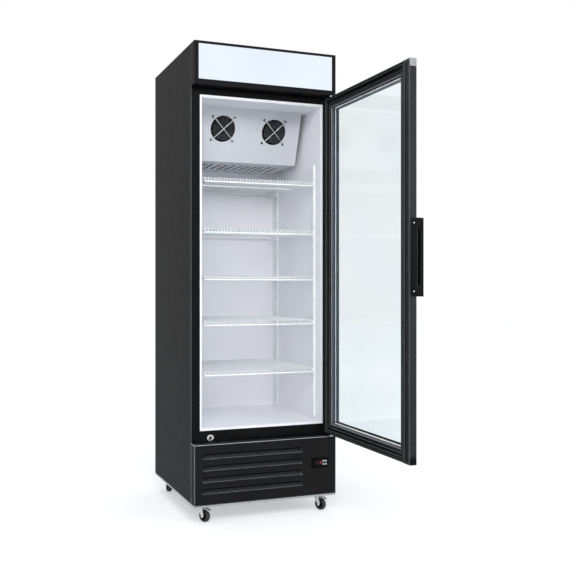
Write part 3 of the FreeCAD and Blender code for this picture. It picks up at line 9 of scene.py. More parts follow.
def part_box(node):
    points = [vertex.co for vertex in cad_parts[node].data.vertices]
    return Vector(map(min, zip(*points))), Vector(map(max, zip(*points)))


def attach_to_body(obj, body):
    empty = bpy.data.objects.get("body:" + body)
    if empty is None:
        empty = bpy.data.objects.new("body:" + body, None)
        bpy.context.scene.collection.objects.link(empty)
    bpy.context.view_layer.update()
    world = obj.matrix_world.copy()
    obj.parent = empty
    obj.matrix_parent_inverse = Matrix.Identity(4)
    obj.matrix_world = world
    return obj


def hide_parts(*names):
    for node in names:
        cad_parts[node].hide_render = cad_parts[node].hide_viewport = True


# A glass door freezer, its door open a quarter turn. Metres, Z up, front towards -Y.
# The frame gives the places; the pieces made here are those that the plain solids only stand for.

MM = 0.001

# The photograph's camera: level, in front of the cabinet's left side
camera_place = (-1.2368, -3.2155, 0.9426)
camera_turn = 19.56
camera_sensor = 36.0
camera_focal_px = 780.58
image_px = 576
principal_x_px = 220.65
principal_y_px = 286.56

# Soft boxes: name, place, target, width, height and power
lamps = (
    ("front", (-0.9, -4.2, 3.4), (0, -0.2, 0.9), 2.6, 1.6, 105),
    ("key", (-2.2, -3.6, 2.6), (0, -0.2, 1.0), 1.8, 1.8, 35),
    ("fill", (2.6, -3.0, 1.6), (0, -0.2, 0.9), 1.6, 2.0, 30),
    ("top", (0.0, 0.4, 4.0), (0, 0, 1.0), 2.4, 2.4, 40),
)

# Light of the world on the object, and the floor, whose glow grows with the distance from the freezer
world_light = 0.60
floor_half = 14.0
floor_glow = {"From Min": 1.0, "From Max": 5.0, "To Min": 0.40, "To Max": 0.62}

# Limits between which the masks of painted highlights on edges, painted shade in hollows and painted light or
# shade on upward faces rise from 0 to 1, and the span of noise
edge_turn = {"From Min": 0.99, "From Max": 0.92}
edge_room = {"From Min": 0.50, "From Max": 0.75}
edge_facing = {"From Min": -0.35, "From Max": -0.05}
edge_level = {"From Min": 0.2, "From Max": 0.4}
hollow_room = {"From Min": 0.55, "From Max": 0.98}
upward_facing = {"From Min": 0.1, "From Max": 0.5}
noise_spread = {"From Min": 0.3, "From Max": 0.7}

# Sockets of a Mix node that carry colours
mix_mask = 0
mix_under = 6
mix_over = 7
mix_result = 2

# Angles in degrees between faces: where shading stays sharp, where edges are rounded, and what counts as flat
sharp_angle = 38
rounded_angle = 35
flat_angle = 1

# Steps of rounded edges and of bends, and how near to each other points are taken for one
rounding_segments = 2
bend_segments = 4
same_place = 1e-7
weld_reach = 0.01 * MM

# Wire shelves
deck_wire = 1.5 * MM
deck_bend = 3.5 * MM
deck_clear = 0.4 * MM
shelf_bar = 3.0 * MM
shelf_wire_count = 36
bar_sides = 14
wire_sides = 8

# Fan guards: crosses on screwed feet in front of nests of wire rings
guard_wire = 1.6 * MM
guard_sides = 12
foot_sides = 20
guard_bend = 4.0 * MM
guard_front = 10.5 * MM
guard_half = 49.0 * MM
guard_lift = 8.0 * MM
foot_rise = 1.5 * MM
foot_outline = [(0, 0), (0, 5.2 * MM), (1.0 * MM, 5.0 * MM), (foot_rise, 4.4 * MM), (foot_rise, 0)]
ring_wire = 0.9 * MM
ring_wire_sides = 6
ring_sides = 40
ring_first = 11.0 * MM
ring_step = 5.6 * MM
ring_count = 7
ring_lift = 4.4 * MM

# Fan rotors
fan_hub = 15.0 * MM
fan_height = 16.0 * MM
hub_sides = 36
evaporator_fan_radius = 50.0 * MM
condenser_fan_radius = 80.0 * MM
hub_dome = [(-1, 0), (-1, 1), (0.55, 1), (0.85, 0.93), (1, 0.7), (1, 0)]

# Fan blades: their points, then angles in degrees and parts of the hub, the sweep, the radius and the height
blade_count = 5
blade_sheet = 1.4 * MM
blade_rows = 8
blade_columns = 9
blade_sweep = 56.0
blade_pitch = 29.0
blade_twist = 16.0
blade_sink = 0.92
blade_narrow = 0.72
blade_lean = 0.16
blade_flat = 0.62
blade_camber = 0.10
blade_limit = 0.55
tip_start = 0.7
tip_taper = 0.34

# Cross-head screws, in parts of the head's width: (radius, height)
screw_head = 6.0 * MM
head_steps = 16
head_rise = 0.35
head_rings = [(0.50, 0.00), (0.49, 0.16), (0.40, 0.30), (0.27, head_rise)]
recess_ring = [(0.24, 0.20), (0.12, 0.345), (0.09, 0.345), (0.12, 0.345)]
recess_floor = 0.10

# Hinge brackets: sheet, bent edge, and how far the screws are from it
bracket_sheet = 4.0 * MM
bracket_edge = 5.0 * MM
bracket_screw_steps = (14.0 * MM, 34.0 * MM)

# Glass spacers, their butyl seal and the tape on the level bars
spacer_gap = 6.0 * MM
spacer_wide = 12.0 * MM
seal_width = 0.4 * MM
tape_width = 8.4 * MM
tape_thick = 0.1 * MM
pane_clear = 0.05 * MM

# Door gasket: the first half of its section as (millimetres in from its edge, part of its depth)
gasket_width = 14.0 * MM
gasket_half = [(0.0, 0.0), (0.0, 0.12), (1.6, 0.17), (4.6, 0.24), (1.4, 0.33), (0.2, 0.39), (1.4, 0.45),
               (4.6, 0.56), (1.2, 0.67), (0.2, 0.72), (0.0, 0.76), (0.0, 0.94), (0.9, 1.0), (5.2, 1.0),
               (5.8, 0.90)]

# Glazing bead: two hard ribs and a soft lip as (inset, rise) in millimetres
bead_gap = 1.6 * MM
bead_ribs = [(0.0, -1.6), (0.0, 1.4), (0.8, 2.6), (2.4, 3.2), (8.0, 3.2), (9.8, 2.4), (10.6, -0.8),
             (14.4, -0.8), (15.2, 2.4), (17.0, 3.2), (21.5, 3.2), (21.5, -1.6)]
bead_lip = [(21.5, -1.6), (21.5, 3.0), (23.8, 2.4), (25.0, 0.6), (25.0, -1.6)]

# Compressor, its foot plate and the tube that leaves it
pot_radius = 72.0 * MM
pot_sides = 64
pot_foot_in = 6.0 * MM
pot_foot_up = 4.0 * MM
pot_seam = 3.0 * MM
seam_level = 0.55
seam_flare = 1.0 * MM
pot_crown = 26.0 * MM
crown_steps = 6
foot_plate = 3.0 * MM
foot_plate_corner = 12.0 * MM
tube_radius = 4.0 * MM
tube_bend = 20.0 * MM
tube_sink = 1.0 * MM
inlet_drop = 11.0 * MM

# Finned coils
fin_sheet = 0.4 * MM
loop_count = 4
loop_bend = 0.98
loop_sides = 10
condenser_fins = 60
condenser_loop = 15.0 * MM
condenser_tube = 4.5 * MM
evaporator_fins = 80
evaporator_loop = 14.0 * MM
evaporator_tube = 5.0 * MM

# Caster wheels. The seat, web and rim are in parts of the wheel's radius.
wheel_sides = 56
tyre_half = 10.0 * MM
tyre_shoulder = 5.0 * MM
tyre_wall = 6.0 * MM
tyre_pinch = 0.98
tyre_seat = 0.7
hub_half = 11.0 * MM
hub_bore = 4.06 * MM
hub_mouth = 8.5 * MM
hub_radius = 9.0 * MM
hub_bevel = 1.0 * MM
web_inset = 3.6 * MM
web_root = 9.6 * MM
web_end = 0.6
rim_edges = ((0.5 * MM, 0.66), (0.2 * MM, 0.71))

# Painted shade: the black put on plastic and powder far down in a gap
painted_shade_black = "#030303"

# Half width of the pressed field of louvres, in millimetres, within which upright edges get no painted
# highlight
louvre_field = 290

# How much the light of the acrylic panels wavers
glow_waver = 0.03

# Kinds of the geometry trees' inputs
input_kinds = {"Geometry": "Geometry", "Material": "Material", "Head": "Object", "Turn": "Rotation",
               "Count": "Int", "Sides": "Int", "Size": "Vector", "Step": "Vector", "Radius": "Float",
               "Bend": "Float", "First": "Float", "Gap": "Float", "Wire": "Float", "Scale": "Float"}

# Controller face
digit_height = 12.0 * MM
digit_width = 6.6 * MM
digit_stroke = 1.5 * MM
digit_gap = 2.6 * MM
digit_slant_share = 0.10
digit_trim_share = 0.62
digit_tip_share = 0.12
digits_start = 8.0 * MM
mark_thick = 0.12 * MM
window_depth = 1.0 * MM
window_start = 12.6 * MM
window_width = 35.8 * MM
window_half = 10.9 * MM

# The seven segments from end to end, in parts of a figure's width and height, and the figures made of them
segments = {
    "top": ((0, 1), (1, 1)), "middle": ((0, 0.5), (1, 0.5)), "bottom": ((0, 0), (1, 0)),
    "upper_left": ((0, 0.5), (0, 1)), "upper_right": ((1, 0.5), (1, 1)),
    "lower_left": ((0, 0), (0, 0.5)), "lower_right": ((1, 0), (1, 0.5)),
}
figures = {"-": ("middle",), "1": ("upper_right", "lower_right"), "8": tuple(segments)}

# Radii that round the edges of moulded, cast and pressed pieces, and the height that splits the door's caps
handle_edge = 1.5 * MM
cap_edge = 1.2 * MM
box_edge = 1.0 * MM
sheet_edge = 0.6 * MM
small_edge = 0.5 * MM
plug_edge = 0.4 * MM
cap_split = 1.0


def linear(code):
    """An sRGB hex colour as linear RGBA."""
    parts = [int(code[place:place + 2], 16) / 255 for place in (1, 3, 5)]
    return [part / 12.92 if part <= 0.04045 else ((part + 0.055) / 1.055) ** 2.4 for part in parts] + [1]


def per_mm(size):
    """Texture scale for a pattern whose features are this many millimetres apart."""
    return 1 / (size * MM)


def fill(tree, made, inputs):
    """Sets or links a node's inputs. A hex code stands for its colour, and a node for its first output."""
    for name, value in inputs.items():
        if isinstance(value, str):
            value = linear(value)
        if isinstance(value, bpy.types.Node):
            value = value.outputs[0]
        if isinstance(value, bpy.types.NodeSocket):
            tree.links.new(value, made.inputs[name])
        else:
            made.inputs[name].default_value = value


def node(tree, kind, inputs=None, **settings):
    """Adds a node with its settings and its inputs."""
    made = tree.nodes.new(kind)
    for name, value in settings.items():
        setattr(made, name, value)
    fill(tree, made, inputs or {})
    return made


def blank(name, settings):
    """A new material with one shader and its plain settings: gives the material, its tree and the shader."""
    material = bpy.data.materials.new(name)
    material.use_nodes = True
    tree = material.node_tree
    tree.nodes.clear()
    shader = node(tree, "ShaderNodeBsdfPrincipled", settings)
    node(tree, "ShaderNodeOutputMaterial", {"Surface": shader})
    return material, tree, shader


def place_on(tree, stretch=(1, 1, 1)):
    """Object coordinates, stretched along an axis where a surface was drawn or brushed."""
    coordinates = node(tree, "ShaderNodeTexCoord")
    return node(tree, "ShaderNodeMapping", {"Vector": coordinates.outputs["Object"], "Scale": stretch})


def mottled(tree, place, size, low=0, high=1, detail=3.0):
    """Noise of a real size in millimetres, spread between two values."""
    noise = node(tree, "ShaderNodeTexNoise", {"Vector": place, "Scale": per_mm(size), "Detail": detail})
    return node(tree, "ShaderNodeMapRange", {"Value": noise, **noise_spread, "To Min": low, "To Max": high})


def level_or_beyond(tree, normal, reach):
    """1 on level edges and, beyond a distance to the left or right in millimetres, on upright ones too."""
    coordinates = node(tree, "ShaderNodeTexCoord")
    place = node(tree, "ShaderNodeSeparateXYZ", {0: coordinates.outputs["Object"]})
    away = node(tree, "ShaderNodeMath", {0: place.outputs["X"]}, operation="ABSOLUTE")
    beyond = node(tree, "ShaderNodeMath", {0: away, 1: reach * MM}, operation="GREATER_THAN")
    facing = node(tree, "ShaderNodeSeparateXYZ", {0: normal})
    upward = node(tree, "ShaderNodeMath", {0: facing.outputs["Z"]}, operation="ABSOLUTE")
    level = node(tree, "ShaderNodeMapRange", {"Value": upward, **edge_level})
    return node(tree, "ShaderNodeMath", {0: beyond, 1: level}, operation="MAXIMUM")


def highlight_edge(tree, radius, pressed):
    """Mask of painted highlights: 1 on outward edges, 0 on flat or hollow places, under lips and on edges
    that look down, as if lit from above, over a width in millimetres.

    In a pressed field that reaches so many millimetres to each side, upright edges are round and get no
    painted highlight.
    """
    rounded = node(tree, "ShaderNodeBevel", {"Radius": radius * MM}, samples=8)
    shape = node(tree, "ShaderNodeNewGeometry")
    turn = node(tree, "ShaderNodeVectorMath", {0: rounded, 1: shape.outputs["True Normal"]},
                operation="DOT_PRODUCT")
    room = node(tree, "ShaderNodeAmbientOcclusion", {"Distance": 4 * radius * MM}, samples=6)
    facing = node(tree, "ShaderNodeSeparateXYZ", {0: rounded})
    masks = [node(tree, "ShaderNodeMapRange", {"Value": room.outputs["AO"], **edge_room}),
             node(tree, "ShaderNodeMapRange", {"Value": facing.outputs["Z"], **edge_facing})]
    if pressed:
        masks.append(level_or_beyond(tree, rounded, pressed))
    edge = node(tree, "ShaderNodeMapRange", {"Value": turn.outputs["Value"], **edge_turn})
    for mask in masks:
        edge = node(tree, "ShaderNodeMath", {0: edge, 1: mask}, operation="MULTIPLY")
    return edge


def unshaded_face(tree, reach):
    """Mask of painted shade: 1 where a face is open to the room and 0 deep in a hollow, where shade is
    painted, over a reach in millimetres.
    """
    room = node(tree, "ShaderNodeAmbientOcclusion", {"Distance": reach * MM}, samples=6)
    return node(tree, "ShaderNodeMapRange", {"Value": room.outputs["AO"], **hollow_room})


def upward_face(tree):
    """1 on slanted and level faces that look up, where light or shade is painted on them."""
    shape = node(tree, "ShaderNodeNewGeometry")
    facing = node(tree, "ShaderNodeSeparateXYZ", {0: shape.outputs["True Normal"]})
    return node(tree, "ShaderNodeMapRange", {"Value": facing.outputs["Z"], **upward_facing})


def relief(tree, height, depth, edge=0.0):
    """Bump from a height, over edges rounded by a small radius in millimetres."""
    bump = node(tree, "ShaderNodeBump", {"Height": height, "Distance": depth * MM, "Strength": 1.0})
    if edge:
        soft = node(tree, "ShaderNodeBevel", {"Radius": edge * MM}, samples=4)
        fill(tree, bump, {"Normal": soft})
    return bump


def layered(tree, colour, *layers):
    """Colours over one another: each layer is a mask and the colour that covers where the mask is 1."""
    for mask, cover in layers:
        mix = node(tree, "ShaderNodeMix", {mix_mask: mask, mix_under: colour, mix_over: cover},
                   data_type="RGBA")
        colour = mix.outputs[mix_result]
    return colour


def shaded_and_highlighted(tree, skin, reach, width, edge, pressed=0):
    """A skin with painted shade, black down in a hollow, over a reach, and painted highlights, pale on
    outward edges, over a width.
    """
    # Painted shade in hollows, then painted highlights on edges, over the skin
    return layered(tree, painted_shade_black, (unshaded_face(tree, reach), skin),
                   (highlight_edge(tree, width, pressed), edge))


def varied(name, tones, rough=None, grain=None, settings=None, stretch=(1, 1, 1), detail=3.0, shade_and_highlight=None):
    """A material with a colour that wanders between two tones and, if given, uneven gloss, a fine relief, and
    painted shade and highlights.

    In millimetres: tones is (size, dark, light), rough (size, low, high), grain (size, depth, edge radius)
    and the last argument the reach of the painted shade in hollows, with the width and the colour of the
    painted highlights on edges.
    """
    material, tree, shader = blank(name, settings)
    place = place_on(tree, stretch)
    tone_size, dark, light = tones
    skin = layered(tree, dark, (mottled(tree, place, tone_size), light))
    # The last argument, when given, paints shade in hollows and highlights on edges
    patterns = {"Base Color": shaded_and_highlighted(tree, skin, *shade_and_highlight) if shade_and_highlight else skin}
    if rough:
        patterns["Roughness"] = mottled(tree, place, *rough)
    if grain:
        size, depth, edge = grain
        patterns["Normal"] = relief(tree, mottled(tree, place, size, detail=detail), depth, edge)
    fill(tree, shader, patterns)
    return material


def powder_coated_steel(name, dark, light, edge, width, top_light, pressed=0):
    """Black polyester powder on folded sheet: satin, with a fine orange peel, painted highlights on the folds
    and painted shade in its hollows.

    A painted light makes the faces that look up lighter, as if lit from above.
    """
    material, tree, shader = blank(name, {"Specular IOR Level": 0.05})
    place = place_on(tree)
    # The colour on faces that look up is painted light from above
    coat = layered(tree, dark, (mottled(tree, place, 160), light), (upward_face(tree), top_light))
    fill(tree, shader, {"Base Color": shaded_and_highlighted(tree, coat, 28, width, edge, pressed),
                        "Roughness": mottled(tree, place, 60, 0.52, 0.55),
                        "Normal": relief(tree, mottled(tree, place, 1.6), 0.02, 1.2)})
    return material


def extruded_pvc(name, dark, light, edge, gloss, width):
    """Hard PVC pulled through a die: satin, with faint lines along the run, painted highlights on its corners
    and painted shade in its hollows.
    """
    material, tree, shader = blank(name, {"Specular IOR Level": gloss})
    place = place_on(tree)
    lines = mottled(tree, place_on(tree, (1, 1, 0.02)), 0.9, detail=1.0)
    skin = layered(tree, dark, (mottled(tree, place, 90), light))
    fill(tree, shader, {"Base Color": shaded_and_highlighted(tree, skin, 12, width, edge),
                        "Roughness": mottled(tree, place, 40, 0.40, 0.50),
                        "Normal": relief(tree, lines, 0.01, 0.8)})
    return material


def moulded_abs(name, dark, light, edge, gloss):
    """Injection-moulded ABS with a spark-eroded grain, drawn at 0.7 mm so that it shows, with painted
    highlights on its edges and painted shade in its hollows.
    """
    return varied(name, (25, dark, light), (12, 0.40, 0.50), (0.7, 0.03, 0.7), {"Specular IOR Level": gloss},
                  shade_and_highlight=(20, 0.9, edge))


def vacuum_formed_hips():
    """White high-impact polystyrene drawn over a mould: a soft gloss and slow waves in the walls."""
    return varied("vacuum_formed_hips_white", (220, "#EDEDF2", "#F0F0F5"), (70, 0.30, 0.33), (85, 0.06, 2.0),
                  {"Specular IOR Level": 0.4}, detail=1.0)


def enamelled_sheet():
    """White baked paint on thin sheet: smooth, with a light orange peel."""
    return varied("baked_enamel_sheet_white", (120, "#C3C4CA", "#C9CAD0"), (30, 0.34, 0.42), (2.0, 0.02, 1.0),
                  {"Specular IOR Level": 0.4})


def dipped_wire():
    """Steel wire dipped in white polyethylene: a waxy, slightly uneven skin."""
    return varied("polyethylene_dipped_wire_white", (40, "#E9ECEF", "#F6F8F9"), (9, 0.30, 0.42),
                  (4.0, 0.05, 0))


def moulded_white():
    """White moulded polypropylene: plain, softly glossy."""
    return varied("moulded_polypropylene_white", (30, "#E4E7EA", "#F0F2F4"), (8, 0.36, 0.44),
                  (1.2, 0.01, 0.4))


def zinc_plate():
    """Pressed steel with bright zinc plating: a cool metal with a cloudy, faintly brushed sheen."""
    return varied("bright_zinc_plated_steel", (14, "#B9BDC0", "#D9DCDE"), (5, 0.24, 0.42), (1.5, 0.02, 0.6),
                  {"Metallic": 1.0})


def plated_casting(name, dark, light, rough):
    """Die-cast zinc, polished and plated: nearly a mirror when it is chromed, with small wipe marks."""
    return varied(name, (6, dark, light), (3, rough, rough + 0.12), (2.5, 0.01, 0.5), {"Metallic": 1.0})


def galvanised_sheet():
    """Hot-dip galvanised steel: grey metal in crystal spangles about 9 mm across."""
    material, tree, shader = blank("galvanised_steel_sheet", {"Metallic": 1.0})
    place = place_on(tree)
    spangle = node(tree, "ShaderNodeTexVoronoi", {"Vector": place, "Scale": per_mm(9.0)})
    shade = node(tree, "ShaderNodeSeparateColor", {"Color": spangle.outputs["Color"]})
    rough = node(tree, "ShaderNodeMapRange", {"Value": shade.outputs["Green"], "To Min": 0.34,
                                              "To Max": 0.52})
    fill(tree, shader, {"Base Color": layered(tree, "#9DA2A6", (shade.outputs["Red"], "#ABB0B3")),
                        "Roughness": rough, "Normal": relief(tree, mottled(tree, place, 3), 0.01, 0.8)})
    return material


def finned_aluminium():
    """Rolled aluminium fin stock: bright, thin and a little dusty."""
    return varied("rolled_aluminium_fin_stock", (6, "#AEB4B8", "#CDD1D4"), (3, 0.28, 0.42), (1.0, 0.02, 0),
                  {"Metallic": 1.0}, (1, 1, 0.1))


def lacquered_spacer(name, dark, light, upper):
    """Roll-formed spacer of an insulating glass unit under a thin lacquer: satin, drawn along its length.

    Faces that look up take the upper colour, painted shade on the spacers.
    """
    material, tree, shader = blank(name, {"Specular IOR Level": 0.04})
    place = place_on(tree, (1, 1, 0.05))
    # The upper colour on faces that look up is painted shade
    drawn = layered(tree, dark, (mottled(tree, place, 3), light), (upward_face(tree), upper))
    fill(tree, shader, {"Base Color": drawn, "Roughness": mottled(tree, place, 2, 0.58, 0.70),
                        "Normal": relief(tree, mottled(tree, place, 0.8), 0.01)})
    return material


def copper_tube():
    """Drawn copper line: warm metal going dull brown in patches."""
    return varied("drawn_copper_tube", (18, "#8C5236", "#C98A63"), (9, 0.26, 0.46),
                  settings={"Metallic": 1.0})


def machine_enamel():
    """Black machine enamel on a compressor or motor: thick, semi-gloss paint."""
    return varied("machine_enamel_black", (20, "#0F1011", "#1C1D1F"), (12, 0.26, 0.38), (3, 0.05, 0.8),
                  {"Specular IOR Level": 0.2})


def soft_pvc():
    """Extruded soft PVC gasket: dull dark grey, with painted shade, black down in its folds, and painted
    highlights, paler along their crests.
    """
    # The pale colour is painted highlight on the crests, and the folds take painted shade
    return varied("soft_pvc_gasket_grey", (30, "#141517", "#1A1B1D"), (10, 0.48, 0.60), (1.5, 0.02, 0.5),
                  {"Specular IOR Level": 0.04}, shade_and_highlight=(7, 1.4, "#868A8E"))


def wheel_rubber():
    """Solid black rubber tread: dull, scuffed a little grey."""
    return varied("solid_rubber_tread", (5, "#101011", "#232324"), (3, 0.55, 0.72), (0.8, 0.05, 0))


def cast_foam():
    """Polyurethane foam blown into the walls: pale yellow, fine-celled and matte."""
    return varied("polyurethane_foam", (3, "#CDBB84", "#DCCC99"), None, (1.0, 0.2, 0), {"Roughness": 0.9})


def float_glass():
    """Clear float glass: hardly any colour, and shadows that stay light."""
    material, tree, shader = blank("clear_float_glass", {"Transmission Weight": 1.0, "Roughness": 0.0,
                                                         "IOR": 1.12})
    place = place_on(tree)
    fill(tree, shader, {"Base Color": layered(tree, "#F8FBFC", (mottled(tree, place, 300), "#FAFCFC"))})
    output = next(made for made in tree.nodes if made.type == "OUTPUT_MATERIAL")
    path = node(tree, "ShaderNodeLightPath")
    clear = node(tree, "ShaderNodeBsdfTransparent", {"Color": "#F6FAFB"})
    mix = node(tree, "ShaderNodeMixShader", {0: path.outputs["Is Shadow Ray"], 1: shader, 2: clear})
    fill(tree, output, {"Surface": mix})
    return material


def lit_acrylic(name, colour, strength):
    """Opal acrylic with light behind it: an even glow that is a touch uneven between the light bars."""
    material, tree, shader = blank(name, {"Base Color": "#20242A", "Roughness": 0.3,
                                          "Emission Color": colour})
    glow = mottled(tree, place_on(tree), 260, strength * (1 - glow_waver), strength * (1 + glow_waver), 0.0)
    fill(tree, shader, {"Emission Strength": glow})
    return material


def red_segment():
    """Red light-emitting segments behind a dark window."""
    return lit_acrylic("red_led_segment", "#E0241A", 0.40)


def display_window():
    """Dark red acrylic over the digits: black until lit."""
    return varied("dark_display_acrylic", (8, "#120506", "#1C0709"),
                  settings={"Specular IOR Level": 0.1, "Roughness": 0.12})


def finish(mesh):
    """Soft shading, with sharp edges where faces meet at more than an angle."""
    mesh.shade_smooth()
    mesh.set_sharp_from_angle(angle=math.radians(sharp_angle))


def shown(name, mesh, material=None):
    """Puts a mesh in the scene as a piece at the origin."""
    piece = bpy.data.objects.new(name, mesh)
    bpy.context.scene.collection.objects.link(piece)
    if material:
        mesh.materials.clear()
        mesh.materials.append(material)
    return piece


def mesh_of(name, points, faces):
    """A mesh from points and faces, its faces turned outwards."""
    mesh = bpy.data.meshes.new(name)
    mesh.from_pydata([tuple(point) for point in points], [], faces)
    mesh.validate()
    work = bmesh.new()
    work.from_mesh(mesh)
    bmesh.ops.remove_doubles(work, verts=work.verts, dist=same_place)
    bmesh.ops.recalc_face_normals(work, faces=work.faces)
    work.to_mesh(mesh)
    work.free()
    finish(mesh)
    return mesh


def plain(piece, name):
    """The evaluated piece as a plain mesh, with its modifiers gone."""
    graph = bpy.context.evaluated_depsgraph_get()
    mesh = bpy.data.meshes.new_from_object(piece.evaluated_get(graph))
    bpy.data.objects.remove(piece)
    finish(mesh)
    return shown(name, mesh)


def joined(name, pieces):
    """Several pieces made one."""
    with bpy.context.temp_override(active_object=pieces[0], selected_editable_objects=pieces):
        bpy.ops.object.join()
    pieces[0].name = name
    return pieces[0]


def upright(axis):
    """A turn that takes +Z to an axis."""
    return Vector((0, 0, 1)).rotation_difference(Vector(axis)).to_matrix().to_4x4()


def round_place(radius, share, height):
    """A point round the Z axis, at a share of a full turn."""
    angle = 2 * math.pi * share
    return Vector((radius * math.cos(angle), radius * math.sin(angle), height))


def quads(rows, columns, wrap_rows=False, wrap_columns=False, start=0):
    """Faces between the neighbours in a grid of points, which may close on itself either way."""
    faces = []
    for row in range(rows if wrap_rows else rows - 1):
        here = start + row * columns
        there = start + (row + 1) % rows * columns
        for column in range(columns if wrap_columns else columns - 1):
            follow = (column + 1) % columns
            faces.append((here + column, here + follow, there + follow, there + column))
    return faces


def lathe(name, outline, place, axis, material, steps, closed=False):
    """A turned piece. The outline is (height along the axis, radius); closed joins its ends, as on a ring."""
    matrix = Matrix.Translation(Vector(place)) @ upright(axis)
    points = [matrix @ round_place(radius, turn / steps, height) for turn in range(steps)
              for height, radius in outline]
    return shown(name, mesh_of(name, points, quads(steps, len(outline), True, closed)), material)


def mitred_ring(name, section, x, low, high, material):
    """A ring of one section round a box's Y and Z sides. The section is (distance in, offset from x)."""
    points = []
    for inset, offset in section:
        corners = ((low.y + inset, low.z + inset), (high.y - inset, low.z + inset),
                   (high.y - inset, high.z - inset), (low.y + inset, high.z - inset))
        points += [(x + offset, y, z) for y, z in corners]
    return shown(name, mesh_of(name, points, quads(len(section), 4, True, True)), material)


def slab(name, outlines, across, low, high, material):
    """Flat plates of any outline between two levels of the axis across them, which is 1 for Y or 2 for Z."""
    points = []
    faces = []
    for outline in outlines:
        first = len(points)
        count = len(outline)
        for level in (low, high):
            for pair in outline:
                place = list(pair)
                place.insert(across, level)
                points.append(place)
        faces += [tuple(range(first, first + count)), tuple(range(first + count, first + 2 * count))]
        faces += quads(2, count, False, True, first)
    return shown(name, mesh_of(name, points, faces), material)


def new_tree(name, *titles):
    """An empty geometry tree with its named inputs: a geometry, those that are asked for, and a material."""
    tree = bpy.data.node_groups.new(name, "GeometryNodeTree")
    for title in ("Geometry",) + titles + ("Material",):
        tree.interface.new_socket(title, in_out="INPUT", socket_type="NodeSocket" + input_kinds[title])
    tree.interface.new_socket("Geometry", in_out="OUTPUT", socket_type="NodeSocketGeometry")
    return tree, node(tree, "NodeGroupInput").outputs


def in_a_row(tree, thing, given):
    """Copies of a thing, a step apart."""
    row = node(tree, "GeometryNodeMeshLine", {"Count": given["Count"], "Offset": given["Step"]},
               mode="OFFSET")
    return node(tree, "GeometryNodeInstanceOnPoints", {"Points": row, "Instance": thing})


def ended(tree, geometry, material):
    """Ends a tree: copies become real faces and take their material."""
    real = node(tree, "GeometryNodeRealizeInstances", {"Geometry": geometry})
    painted = node(tree, "GeometryNodeSetMaterial", {"Geometry": real, "Material": material})
    node(tree, "NodeGroupOutput", {"Geometry": painted})
    return tree


def rod_row_tree():
    """Bent rods in a row: the mesh's line is the rod's path."""
    tree, given = new_tree("row_of_rods", "Radius", "Bend", "Sides", "Count", "Step")
    path = node(tree, "GeometryNodeMeshToCurve", {"Mesh": given["Geometry"]})
    bent = node(tree, "GeometryNodeFilletCurve", {"Curve": path, "Radius": given["Bend"],
                                                  "Count": bend_segments}, mode="POLY")
    round_bar = node(tree, "GeometryNodeCurvePrimitiveCircle", {"Resolution": given["Sides"],
                                                                "Radius": given["Radius"]})
    rod = node(tree, "GeometryNodeCurveToMesh", {"Curve": bent, "Profile Curve": round_bar,
                                                 "Fill Caps": True})
    return ended(tree, in_a_row(tree, rod, given), given["Material"])


def plate_row_tree():
    """Thin plates in a row, such as the fins of a coil: the mesh's one point is the first plate's middle."""
    tree, given = new_tree("row_of_plates", "Size", "Count", "Step")
    plate = node(tree, "GeometryNodeMeshCube", {"Size": given["Size"]})
    stack = in_a_row(tree, plate, given)
    copies = node(tree, "GeometryNodeInstanceOnPoints", {"Points": given["Geometry"], "Instance": stack})
    return ended(tree, copies, given["Material"])


def ring_nest_tree():
    """Concentric wire rings round each of the mesh's points."""
    tree, given = new_tree("nest_of_rings", "First", "Gap", "Count", "Wire", "Turn")
    circle = node(tree, "GeometryNodeCurvePrimitiveCircle", {"Resolution": ring_sides, "Radius": 1.0})
    nest = node(tree, "GeometryNodeMeshLine", {"Count": given["Count"], "Offset": (0, 0, 0)}, mode="OFFSET")
    number = node(tree, "GeometryNodeInputIndex")
    radius = node(tree, "ShaderNodeMath", {0: number, 1: given["Gap"], 2: given["First"]},
                  operation="MULTIPLY_ADD")
    rings = node(tree, "GeometryNodeInstanceOnPoints", {"Points": nest, "Instance": circle, "Scale": radius})
    lines = node(tree, "GeometryNodeRealizeInstances", {"Geometry": rings})
    round_bar = node(tree, "GeometryNodeCurvePrimitiveCircle", {"Resolution": ring_wire_sides,
                                                                "Radius": given["Wire"]})
    wires = node(tree, "GeometryNodeCurveToMesh", {"Curve": lines, "Profile Curve": round_bar})
    copies = node(tree, "GeometryNodeInstanceOnPoints", {"Points": given["Geometry"], "Instance": wires,
                                                         "Rotation": given["Turn"]})
    return ended(tree, copies, given["Material"])


def head_tree():
    """Screw heads on the mesh's points, all turned one way."""
    tree, given = new_tree("screw_heads", "Head", "Turn", "Scale")
    head = node(tree, "GeometryNodeObjectInfo", {"Object": given["Head"]})
    copies = node(tree, "GeometryNodeInstanceOnPoints", {"Points": given["Geometry"],
                                                         "Instance": head.outputs["Geometry"],
                                                         "Rotation": given["Turn"], "Scale": given["Scale"]})
    return ended(tree, copies, given["Material"])


def grown(name, points, edges, tree, values):
    """A plain mesh that a geometry tree makes on points, with the tree's inputs set by identifier."""
    mesh = bpy.data.meshes.new(name)
    mesh.from_pydata([tuple(point) for point in points], edges, [])
    seed = bpy.data.objects.new(name + "_seed", mesh)
    modifier = seed.modifiers.new(tree.name, "NODES")
    modifier.node_group = tree
    for item in tree.interface.items_tree:
        if item.in_out == "INPUT" and item.name in values:
            modifier[item.identifier] = values[item.name]
    bpy.context.scene.collection.objects.link(seed)
    return plain(seed, name)


def rods(name, path, radius, material, sides, bend=0.0, count=1, step=(0, 0, 0)):
    """A row of bent rods along a path."""
    edges = [(number, number + 1) for number in range(len(path) - 1)]
    values = {"Radius": radius, "Bend": bend, "Sides": sides, "Count": count, "Step": step,
              "Material": material}
    return grown(name, path, edges, trees["rods"], values)


